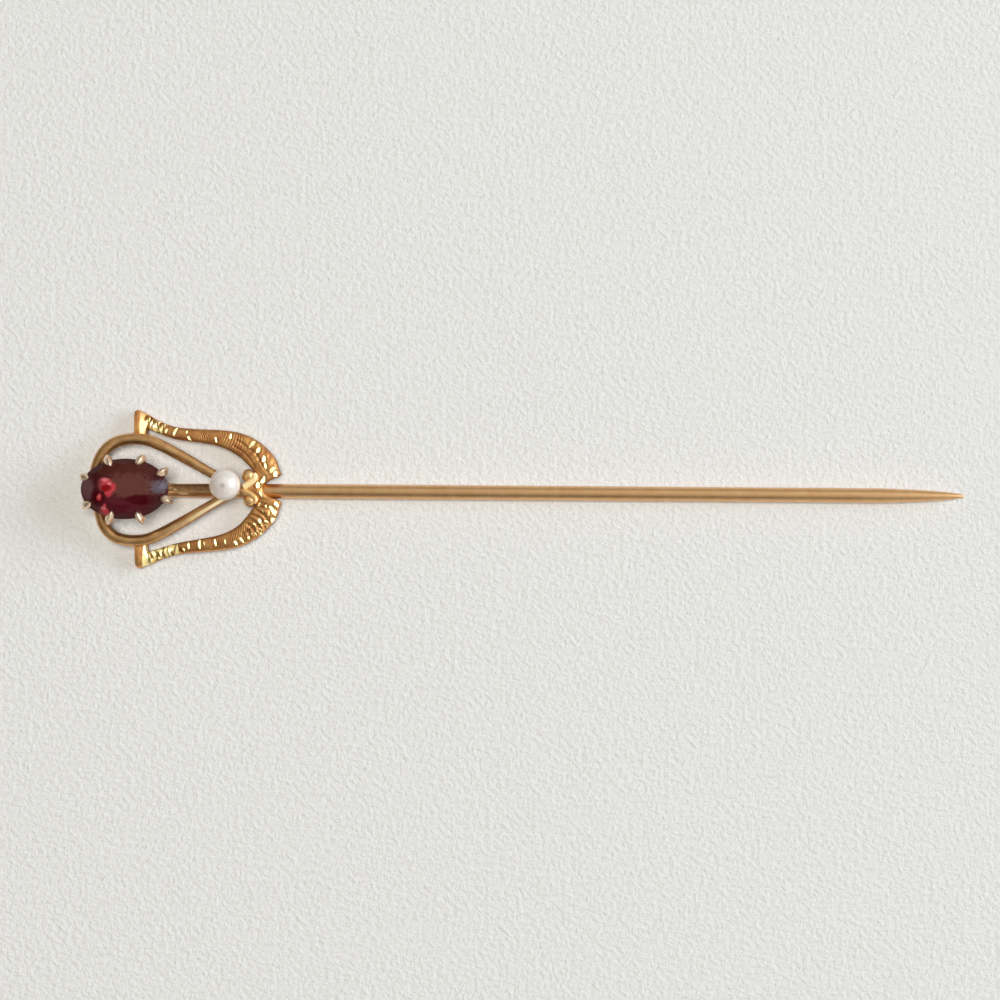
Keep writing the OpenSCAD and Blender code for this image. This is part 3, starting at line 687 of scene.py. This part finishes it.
def turned(name, profile, centre, sides, finish):
    """A piece turned on a lathe. Its profile of (radius, height) in millimetres starts and ends on the axis."""
    x, y = centre
    points = [(x, y, profile[0][1])]
    points += [(x + r * math.cos(2 * math.pi * j / sides), y + r * math.sin(2 * math.pi * j / sides), z)
               for r, z in profile[1:-1] for j in range(sides)]
    points.append((x, y, profile[-1][1]))
    rows = len(profile) - 2
    last = len(points) - 1

    def at(i, j):
        return 1 + i * sides + j % sides

    faces = [(0, at(0, j), at(0, j + 1)) for j in range(sides)]
    faces += [(at(i, j), at(i, j + 1), at(i + 1, j + 1), at(i + 1, j)) for i in range(rows - 1) for j in range(sides)]
    faces += [(last, at(rows - 1, j + 1), at(rows - 1, j)) for j in range(sides)]
    return shaped(name, points, faces, finish, 40)


def round_profile(radius, middle, steps):
    return [(radius * math.sin(math.pi * i / steps), middle - radius * math.cos(math.pi * i / steps))
            for i in range(steps + 1)]


SCROLL_GOLD = (1.0, 0.63, 0.26)
# Paler colour of the upper tail: a painted highlight
TAIL_HIGHLIGHT_GOLD = (1.0, 0.86, 0.50)
scroll_gold = gold_finish("scroll_gold", SCROLL_GOLD, GOLD, GOLD_PAINTED_SHADE, 0.28, scratch=(1, 1, 1), metal=0.88)
lit_tail_gold = gold_finish("lit_tail_gold", TAIL_HIGHLIGHT_GOLD, SCROLL_GOLD, GOLD_PAINTED_SHADE, 0.5, scratch=(1, 1, 1), metal=0.35)


def scroll(name, side, finish):
    middle = on_head(WING_X + BALLS[side][0] * WING_L, side * BALLS[side][1] * HEAD_W / 2)
    ball = turned(name + "_ball", round_profile(BALL_D / 2, WING_TOP - BALL_D / 2, 32), middle, 48, scroll_gold)
    line = [(*on_head(WING_X + x * WING_L, side * y * HEAD_W / 2), WING_TOP - d * BALL_D / 2, d * BALL_D)
            for x, y, d in curve_through(TAIL, 10)]
    belongs(ball, "goldwork")
    belongs(wire(name + "_tail", line, 28, finish), "goldwork")


scroll("scroll_upper", 1, lit_tail_gold)
scroll("scroll_lower", -1, scroll_gold)

# Claw setting. Eight claws of paler gold stand on an oval gallery wire, soldered over the
# stem. Each was filed to a ridge, then bent in over the crown and burnished to a point.
STONE_L = 6.2
STONE_W = 4.3
CROWN_H = 0.8
GIRDLE_T = 0.14
PAVILION_H = 1.6
TABLE = 0.58
CROWN_MID = 0.8
PAVILION_MID = 0.34
FACET = math.radians(22.5)
crown_main = CROWN_H / (1 - TABLE)
crown_mid_h = crown_main * (1 - CROWN_MID * math.cos(FACET))
crown_break = crown_mid_h / ((1 - CROWN_MID) * math.cos(FACET / 2))
crown_star = (CROWN_H - crown_mid_h) / (CROWN_MID - TABLE * math.cos(FACET))
crown_foot = GIRDLE_T / 2 + crown_break * (1 - math.cos(FACET / 2))
pavilion_mid_h = PAVILION_H * (1 - PAVILION_MID * math.cos(FACET))
pavilion_break = pavilion_mid_h / ((1 - PAVILION_MID) * math.cos(FACET / 2))
pavilion_foot = GIRDLE_T / 2 + pavilion_break * (1 - math.cos(FACET / 2))
STONE_Z = STEM_TOP + 0.15 + PAVILION_H + pavilion_foot
STONE_GAP = 0.04
CLAW_W = 0.62
CLAW_T = 0.4
CLAW_OVER = 0.56
GALLERY_D = 0.55
GALLERY_A = STONE_L / 2 - 0.92
GALLERY_B = STONE_W / 2 - 0.92
GALLERY_Z = STEM_TOP - SOLDER + GALLERY_D / 2
# degrees round the stone, share of CLAW_OVER, share of CLAW_T, where its ridge lies across it
CLAWS = [(30, 0.85, 1.50, -0.15), (68, 0.85, 1.25, 0.2), (112, 1.00, 1.25, 0.1), (157, 0.75, 1.00, 0.15),
         (210, 0.80, 1.10, -0.2), (250, 1.00, 1.45, 0.1), (291, 0.90, 1.45, -0.1), (340, 0.80, 1.65, 0.15)]
# Foot to girdle: share of the way out, share of the way up, share of CLAW_W, share of CLAW_T
CLAW_BODY = [(0, 0, 0.7, 1), (0.22, 0.2, 0.72, 1), (0.62, 0.5, 0.8, 0.95), (0.9, 0.76, 0.92, 0.9), (1, 1, 1, 0.85)]
# Over the crown: share of CLAW_OVER, share of CLAW_W, share of CLAW_T
CLAW_TIP = [(0.25, 0.96, 0.85), (0.5, 0.84, 0.75), (0.75, 0.60, 0.58), (0.92, 0.34, 0.4), (1, 0.12, 0.25)]
CLAW_LEAN = (0.6, 1.6)
# Share of the width that lies on the stone, share of the thickness at the sides, and how far those bulge
CLAW_FLAT = 0.8
CLAW_SIDE = 0.24
CLAW_BULGE = 0.04
PALE_GOLD = (0.86, 0.70, 0.52)
PALE_RED = (0.75, 0.52, 0.36)


def crown_at(x, y):
    """Height of the crown above its foot, the lowest of its facets there."""
    u, v = 2 * x / STONE_L, 2 * y / STONE_W

    def toward(a):
        return u * math.cos(a) + v * math.sin(a)

    mains = [crown_main * (1 - toward(FACET * (2 * i + 1))) for i in range(8)]
    stars = [CROWN_H - crown_star * (toward(FACET * 2 * i) - TABLE * math.cos(FACET)) for i in range(8)]
    breaks = [crown_break * (math.cos(FACET / 2) - toward(FACET * (i + 0.5))) for i in range(16)]
    return min([CROWN_H] + mains + stars + breaks)


def claw(degrees, over, thick, ridge, finish):
    """A claw as a skin of sections (x, y, z, way out, width, thickness) from its foot to its point on the crown."""
    a = math.radians(degrees)
    foot = np.array([GALLERY_A * math.cos(a), GALLERY_B * math.sin(a)])
    out = np.array([math.cos(a) / STONE_L, math.sin(a) / STONE_W])
    out /= np.linalg.norm(out)
    across = np.array([out[1], -out[0]])
    edge = np.array([STONE_L / 2 * math.cos(a), STONE_W / 2 * math.sin(a)])
    inward = -edge / np.linalg.norm(edge)
    top = edge + out * STONE_GAP
    low = STONE_Z - pavilion_foot
    gap_over = STONE_GAP / math.cos(math.atan(2 * crown_main / STONE_W))
    rows = [(*(foot + (top - foot) * far), GALLERY_Z + (low - GALLERY_Z) * up, *out, 0, w, t)
            for far, up, w, t in CLAW_BODY]
    rows.append((*top, STONE_Z + crown_foot + STONE_GAP / 2, *out, 0, *CLAW_BODY[-1][2:]))
    for reach, w, t in CLAW_TIP:
        p = top + inward * reach * over * CLAW_OVER
        high = max(crown_at(*(p + across * k * w * CLAW_W / 2)) for k in (-CLAW_FLAT, 0, CLAW_FLAT))
        lean = np.array([*out, CLAW_LEAN[0] + CLAW_LEAN[1] * reach])
        rows.append((*p, STONE_Z + crown_foot + high + gap_over, *(lean / np.linalg.norm(lean)), w, t))
    rows = rows[:6] + [tuple(np.add(rows[5], rows[6]) / 2)] + rows[6:]
    fine = [tuple(np.array(first) * (1 - t) + np.array(then) * t)
            for first, then in zip(rows, rows[1:]) for t in (0, 0.25, 0.5, 0.75)] + [rows[-1]]
    section = [(-CLAW_FLAT, 0.0)]
    for k in range(-8, 9):
        u = k / 8
        reach = (u - ridge) / ((1 - ridge) if u > ridge else (1 + ridge))
        section.append((u * (1 - CLAW_BULGE * abs(u)), CLAW_SIDE + (1 - CLAW_SIDE) * (1 - abs(reach) ** 1.5)))
    section.append((CLAW_FLAT, 0.0))
    points = []
    for x, y, z, ox, oy, oz, w, t in fine:
        for q, h in section:
            px = x + across[0] * q * w * CLAW_W / 2 + ox * h * t * thick * CLAW_T
            py = y + across[1] * q * w * CLAW_W / 2 + oy * h * t * thick * CLAW_T
            points.append((*on_head(STONE_X + px, py), z + oz * h * t * thick * CLAW_T))
    return shaped("claw", points, skin(len(fine), len(section)), finish, 34)


def joined(name, pieces):
    """Several meshes of one material as one piece."""
    bm = bmesh.new()
    finish = pieces[0].data.materials[0]
    for piece in pieces:
        bm.from_mesh(piece.data)
        bpy.data.objects.remove(piece)
    mesh = bpy.data.meshes.new(name)
    mesh.materials.append(finish)
    bm.to_mesh(mesh)
    bm.free()
    made = bpy.data.objects.new(name, mesh)
    bpy.context.scene.collection.objects.link(made)
    return made


claw_gold = gold_finish("claw_gold", PALE_GOLD, PALE_RED, GOLD_PAINTED_SHADE, 0.3, scratch=(1, 1, 0.3), dent=0.012)
gallery_line = [(*on_head(STONE_X + GALLERY_A * math.cos(a), GALLERY_B * math.sin(a)), GALLERY_Z, GALLERY_D)
                for a in [2 * math.pi * i / 120 for i in range(120)]]
setting = [wire("gallery", gallery_line, 24, claw_gold, closed=True)] + [claw(*row, claw_gold) for row in CLAWS]
belongs(joined("claw_setting", setting), "goldwork")

# Pearl cup. A turned gold cup with a post, soldered to the stem between the arms of the
# loop. The pearl hides all of it but the rim.
PEARL_D = 2.2
PEARL_GAP = 0.05
# How far the pearl sits before the loop's end, and how far to its upper side
PEARL_BACK = 0.85
PEARL_SIDE = 0.24
CUP_D = 1.3
CUP_WALL = 0.06
CUP_EDGE = 0.02
POST_D = 0.5
POST_IN = 1.2
POST_EDGE = 0.03
pearl_flat = (LOOP_X + LOOP_L - PEARL_BACK, PEARL_SIDE)
PEARL_X, PEARL_Y = on_head(*pearl_flat)
clear = max(((PEARL_D + d) / 2 + PEARL_GAP) ** 2 - (x - pearl_flat[0]) ** 2 - (y - pearl_flat[1]) ** 2
            for x, y, d in curve_through(loop_rows, 5))
PEARL_Z = LOOP_Z + math.sqrt(clear)
CUP_Z = STEM_Z
RIM_Z = PEARL_Z - PEARL_D * 0.25
SEAT_R = PEARL_D / 2 + PEARL_GAP
cup_gold = gold_finish("cup_gold", GOLD, GOLD_RED, GOLD_PAINTED_SHADE, 0.2, scratch=(1, 1, 1))
rim_r, post_r = CUP_D / 2, POST_D / 2
seat = []
for i in range(9):
    r = rim_r - CUP_WALL + (post_r - rim_r + CUP_WALL) * i / 8
    seat.append((r, min(RIM_Z, PEARL_Z - math.sqrt(SEAT_R**2 - r**2))))
post_top = PEARL_Z - PEARL_D / 2 + POST_IN
cup_profile = [(0, CUP_Z), (CUP_D * 0.25, CUP_Z), (rim_r - CUP_EDGE, RIM_Z - 3 * CUP_EDGE), (rim_r, RIM_Z - CUP_EDGE),
               (rim_r - CUP_EDGE, RIM_Z), *seat,
               (post_r, post_top - POST_EDGE), (post_r - POST_EDGE, post_top), (0, post_top)]
belongs(turned("pearl_cup", cup_profile, (PEARL_X, PEARL_Y), 64, cup_gold), "goldwork")

# Garnet. A dark red garnet, cut as an oval brilliant on a wheel and polished; wear has
# rounded the edges of its facets a little. The claws hold it down on air, not on glue. Its
# reflections, the red flash inside it, its glints and its shade are painted into its colour.
GIRDLE_N = 64
GARNET_WEAR = 0.014
GARNET_RED = (0.050, 0.006, 0.008)
GARNET_BROWN = (0.125, 0.040, 0.031)
GARNET_RUST = (0.084, 0.018, 0.013)
GARNET_WINE = (0.085, 0.008, 0.014)
GARNET_DARK_SHADE = (0.056, 0.0, 0.002)
GARNET_PAINTED_FLASH = (0.54, 0.048, 0.065)
GARNET_PINK_GLINT = (0.66, 0.16, 0.17)
GARNET_PAINTED_GLOW = (0.30, 0.045, 0.05)
GARNET_FLASH_CORE = (0.22, 0.001, 0.003)
GARNET_VIOLET_REFLECTION = (0.118, 0.088, 0.102)
GARNET_GREY_REFLECTION = (0.140, 0.060, 0.066)
# Patches painted over the stone's colour: a browner top and table, a wine-red lower half, and painted light, that is
# reflections at the ends, the red flash from inside with its core, glow and glints, and dark shade. Each is x, y from
# its middle, half length, half width, softness, colour
PAINTED_LIGHT_ZONES = [(0.10, 1.30, 1.90, 0.60, 0.5, GARNET_RUST), (-0.10, -1.20, 1.70, 0.75, 0.5, GARNET_WINE),
         (0.45, 0.20, 1.70, 0.85, 0.4, GARNET_BROWN), (1.32, -0.78, 1.05, 0.34, 0.25, GARNET_DARK_SHADE),
         (2.50, 0.14, 0.52, 0.44, 0.6, GARNET_VIOLET_REFLECTION), (-2.60, 0.00, 0.50, 0.80, 0.6, GARNET_GREY_REFLECTION),
         (-1.70, -0.55, 0.50, 0.50, 0.7, GARNET_DARK_SHADE), (-1.38, 0.30, 0.34, 0.42, 0.9, GARNET_PAINTED_GLOW),
         (-1.10, 0.42, 0.34, 0.26, 0.7, GARNET_PAINTED_FLASH), (-0.72, 0.10, 0.24, 0.28, 0.7, GARNET_PAINTED_FLASH),
         (-0.98, -0.32, 0.26, 0.26, 0.8, GARNET_PAINTED_FLASH), (-1.16, 0.04, 0.32, 0.25, 0.5, GARNET_FLASH_CORE),
         (-1.66, -0.62, 0.17, 0.22, 0.7, GARNET_PAINTED_FLASH), (-1.28, -1.18, 0.11, 0.11, 0.7, GARNET_PAINTED_FLASH),
         (-1.38, -1.68, 0.38, 0.28, 0.8, GARNET_PAINTED_GLOW), (-1.26, -1.60, 0.24, 0.18, 0.7, GARNET_PAINTED_FLASH),
         (-1.24, 0.62, 0.26, 0.13, 0.8, GARNET_PINK_GLINT), (-0.92, 0.34, 0.16, 0.11, 0.8, GARNET_PINK_GLINT),
         (-1.67, -0.58, 0.10, 0.10, 0.8, GARNET_PINK_GLINT), (-1.40, -1.38, 0.17, 0.12, 0.8, GARNET_PINK_GLINT)]


def garnet_mesh():
    """Points in millimetres from the stone's middle, and faces: table, 8 stars, 8 mains and 16 breaks above, 8 mains
    and 16 breaks below."""
    def ring(r, z, shift):
        return [(r * math.cos(shift + 2 * math.pi * i / 8) * STONE_L / 2,
                 r * math.sin(shift + 2 * math.pi * i / 8) * STONE_W / 2, z) for i in range(8)]

    def edge(side, slope):
        rows = []
        for k in range(GIRDLE_N):
            a = 2 * math.pi * k / GIRDLE_N
            scallop = 1 - math.cos(((k % 4) / 4 - 0.5) * FACET)
            high = side * (GIRDLE_T / 2 + slope * scallop)
            rows.append((math.cos(a) * STONE_L / 2, math.sin(a) * STONE_W / 2, high))
        return rows

    points = ring(TABLE, crown_foot + CROWN_H, FACET) + ring(CROWN_MID, crown_foot + crown_mid_h, 0)
    points += edge(1, crown_break) + edge(-1, pavilion_break)
    points += ring(PAVILION_MID, -pavilion_foot - pavilion_mid_h, 0) + [(0, 0, -pavilion_foot - PAVILION_H)]
    table, mid, top, bottom = 0, 8, 16, 16 + GIRDLE_N
    low = bottom + GIRDLE_N
    culet = low + 8
    faces = [[table + i for i in range(8)]]
    faces += [[table + (i + 7) % 8, table + i, mid + i] for i in range(8)]
    faces += [[table + i, mid + (i + 1) % 8, top + (2 * i + 1) * 4, mid + i] for i in range(8)]
    for i in range(8):
        for first in (8 * i, 8 * i - 4):
            faces.append([mid + i] + [top + (first + k) % GIRDLE_N for k in range(5)])
            faces.append([low + i] + [bottom + (first + k) % GIRDLE_N for k in range(5)])
        faces.append([culet, low + i, bottom + (2 * i + 1) * 4, low + (i + 1) % 8])
    faces += [[top + k, top + (k + 1) % GIRDLE_N, bottom + (k + 1) % GIRDLE_N, bottom + k] for k in range(GIRDLE_N)]
    return points, faces


points, faces = garnet_mesh()
bm = bmesh.new()
corners = [bm.verts.new([c * MM for c in (*on_head(STONE_X + x, y), STONE_Z + z)]) for x, y, z in points]
for face in faces:
    bm.faces.new([corners[i] for i in face])
bmesh.ops.recalc_face_normals(bm, faces=bm.faces)
worn = [e for e in bm.edges if e.calc_face_angle(0) > math.radians(6)]
bmesh.ops.bevel(bm, geom=worn, offset=GARNET_WEAR * MM, offset_type="OFFSET", segments=2, profile=0.5,
                affect="EDGES", clamp_overlap=True)
stone_mesh = bpy.data.meshes.new("garnet")
bm.to_mesh(stone_mesh)
bm.free()
garnet = bpy.data.objects.new("garnet_stone", stone_mesh)
bpy.context.scene.collection.objects.link(garnet)
f = Finish("garnet_cut", Transmission_Weight=0.08, IOR=1.76, Specular_IOR_Level=0.04)
where = f.place()
east, north = where.part("X"), where.part("Y")
ragged = f.noise(where, 0.3, 4, 0.7) * 3.0 - 1.5
tone = f.mix(f.noise(where, 0.12, 3).over(0.3, 0.7) * 0.25, GARNET_RED, GARNET_BROWN)
# Each patch paints its colour over the stone; most of them stand in for light and shade seen in it.
for x, y, across, along, soft, colour in PAINTED_LIGHT_ZONES:
    u, w = (east - (STONE_X + x)) * (1 / across), (north - y) * (1 / along)
    tone = f.mix((u * u + w * w + ragged).over(1 + soft, 1 - soft), tone, colour)
f.set(Base_Color=tone, Roughness=f.noise(where, 0.4, 2).over(0.5, 0.9) * 0.03)
stone_mesh.materials.append(f.set(Normal=f.bump(f.noise(f.place((1, 0.2, 1)), 0.06, 3), 0.0004)))
belongs(garnet, "garnet")

# Pearl. A round half-drilled pearl, glued on the post. Its nacre is silvery, thin and
# greyish round a small dimple on top. Its sides and underside are painted lighter and creamier, as painted light.
NACRE = (0.78, 0.725, 0.68)
NACRE_GREY = (0.45, 0.41, 0.37)
NACRE_ROSE = (0.78, 0.67, 0.59)
NACRE_SIDE_LIGHT = (0.97, 0.87, 0.76)
# Dimple: x and y from the pearl's middle, half width, depth, half width of the grey round it
DIMPLE = (-0.065, -0.13)
DIMPLE_W = 0.14
DIMPLE_DEEP = 0.035
DIMPLE_GREY = 0.2
HOLE_EDGE = 0.02
hole_r = POST_D / 2 + PEARL_GAP
hole_top = PEARL_Z - PEARL_D / 2 + POST_IN + PEARL_GAP
start = math.asin(hole_r / (PEARL_D / 2))
ball = [(PEARL_D / 2 * math.sin(a), PEARL_Z - PEARL_D / 2 * math.cos(a))
        for a in [start + (math.pi - start) * i / 90 for i in range(91)]]
pearl_profile = [(0, hole_top), (hole_r - HOLE_EDGE, hole_top), (hole_r, hole_top - HOLE_EDGE), *ball]
pearl_profile[-1] = (0, PEARL_Z + PEARL_D / 2)
f = Finish("nacre", Coat_Weight=1.0, Coat_Roughness=0.26, Coat_IOR=1.8, IOR=1.8, Sheen_Weight=0.5,
           Sheen_Roughness=0.4, Sheen_Tint=(1.0, 0.90, 0.78))
where = f.place()
cloudy = f.noise(where, 0.5, 3).over(0.35, 0.7)
spot = f.attribute("spot")
tone = f.mix(cloudy * 0.7, NACRE, NACRE_ROSE)
# Lighter and creamier from near the top downwards: painted light on the sides and underside
tone = f.mix((where.part("Z") - PEARL_Z).over(0.85, 0.1), tone, NACRE_SIDE_LIGHT)
f.set(Base_Color=f.mix(spot, tone, NACRE_GREY), Roughness=0.2 + cloudy * 0.1 + spot * 0.1)
nacre = f.set(Normal=f.bump(f.noise(where, 0.3, 3), 0.004))
pearl = turned("pearl_bead", pearl_profile, (PEARL_X, PEARL_Y), 128, nacre)
spots = []
for v in pearl.data.vertices:
    near = math.hypot(v.co.x / MM - PEARL_X - DIMPLE[0], v.co.y / MM - PEARL_Y - DIMPLE[1])
    on_top = v.co.z / MM > PEARL_Z + 0.4
    dip = math.exp(-((near / DIMPLE_W) ** 2)) if on_top else 0.0
    v.co.z -= DIMPLE_DEEP * MM * dip
    spots.append(min(1.0, 1.1 * math.exp(-((near / DIMPLE_GREY) ** 2))) if on_top else 0.0)
mark(pearl, "spot", spots)
belongs(pearl, "pearl")

# Floor. The pin lies on a sheet of off-white leathercloth, whose coating was embossed
# with a fine grain.
FLOOR_HALF = 1.2
floor_mesh = bpy.data.meshes.new("floor")
floor_mesh.from_pydata([(x * FLOOR_HALF, y * FLOOR_HALF, 0) for x, y in ((-1, -1), (1, -1), (1, 1), (-1, 1))],
                       [], [(0, 1, 2, 3)])
floor = bpy.data.objects.new("floor", floor_mesh)
bpy.context.scene.collection.objects.link(floor)
f = Finish("leathercloth", Roughness=0.6, Specular_IOR_Level=0.3)
grain = f.noise(f.place(), 0.37, 4, 0.6)
f.set(Base_Color=f.mix(grain.over(0.35, 0.65), (0.775, 0.77, 0.75), (0.825, 0.82, 0.80)))
floor_mesh.materials.append(f.set(Normal=f.bump(grain, 0.21)))

# Light. A wide soft lamp low on the right, a soft one overhead that leaves no glare on the
# gold, and a room for the gold to reflect, dark where whoever leans over the pin shades it.
def lamp(name, degrees_round, degrees_up, distance, width, height, watts, colour):
    light = bpy.data.lights.new(name, "AREA")
    light.shape, light.size, light.size_y, light.energy, light.color = "RECTANGLE", width, height, watts, colour
    made = bpy.data.objects.new(name, light)
    a, e = math.radians(degrees_round), math.radians(degrees_up)
    out = distance * math.cos(e)
    made.location = (out * math.cos(a), out * math.sin(a), distance * math.sin(e))
    made.rotation_euler = (math.pi / 2 - e, 0, a + math.pi / 2)
    bpy.context.scene.collection.objects.link(made)
    return made


lamp("window", LAMP_WAY, 27, 1.0, 0.7, 0.6, 7.0, (0.70, 0.84, 1.0))
ceiling = lamp("ceiling", 90, 88, 1.0, 0.36, 0.36, 8.5, (1.0, 0.95, 0.88))
ceiling.visible_glossy = False

ROOM = (1.0, 0.975, 0.87)
# How far the middle of the shade leans from straight up to the near side
SHADE_WAY = math.radians(46)
# How much brighter the room is to the right, and darker to the left
RIGHT = (0.9, 0, 0)
# How far round from behind the shade to its middle, and how bright the room is there
BRIGHT = [(0.0, 0.28), (0.14, 0.28), (0.295, 0.36), (0.46, 0.56), (0.61, 0.70), (0.754, 0.62),
          (0.868, 0.50), (0.933, 0.48), (0.965, 0.32), (0.992, 0.10), (1.0, 0.08)]
world = bpy.data.worlds.new("room")
world.use_nodes = True
world.cycles_visibility.diffuse = False
bpy.context.scene.world = world
world.node_tree.nodes.clear()
room = Nodes(world.node_tree)
dot = {"operation": "DOT_PRODUCT"}
ways = room.node("ShaderNodeTexCoord", {}, {}, "Generated")
shade = (0, -math.sin(SHADE_WAY), math.cos(SHADE_WAY))
shaded = room.node("ShaderNodeVectorMath", dot, {0: ways, 1: shade}, "Value")
half = room.node("ShaderNodeMath", {"operation": "MULTIPLY_ADD"}, {0: shaded, 1: 0.5, 2: 0.5})
stops = [(place, [bright * c for c in ROOM]) for place, bright in BRIGHT]
ramp = room.node("ShaderNodeValToRGB", {"stops": stops}, {"Fac": half}, "Color")
right = room.node("ShaderNodeVectorMath", dot, {0: ways, 1: RIGHT}, "Value")
back = room.node("ShaderNodeBackground", {}, {"Color": ramp, "Strength": right + 1.0})
room.node("ShaderNodeOutputWorld", {}, {"Surface": back})
bpy.context.scene.view_settings.view_transform = "Standard"

# Camera. It looks almost straight down on the pin through a long lens, with the head on
# the left.
camera = bpy.data.cameras.new("camera")
camera.lens, camera.sensor_width, camera.clip_start = 71.262, 36, MM
view = bpy.data.objects.new("camera", camera)
view.location = (-3.8246 * MM, -5.2244 * MM, 143.6678 * MM)
view.rotation_euler = [math.radians(a) for a in (1.88013731, -0.79749109, 0.38927403)]
bpy.context.scene.collection.objects.link(view)
bpy.context.scene.camera = view
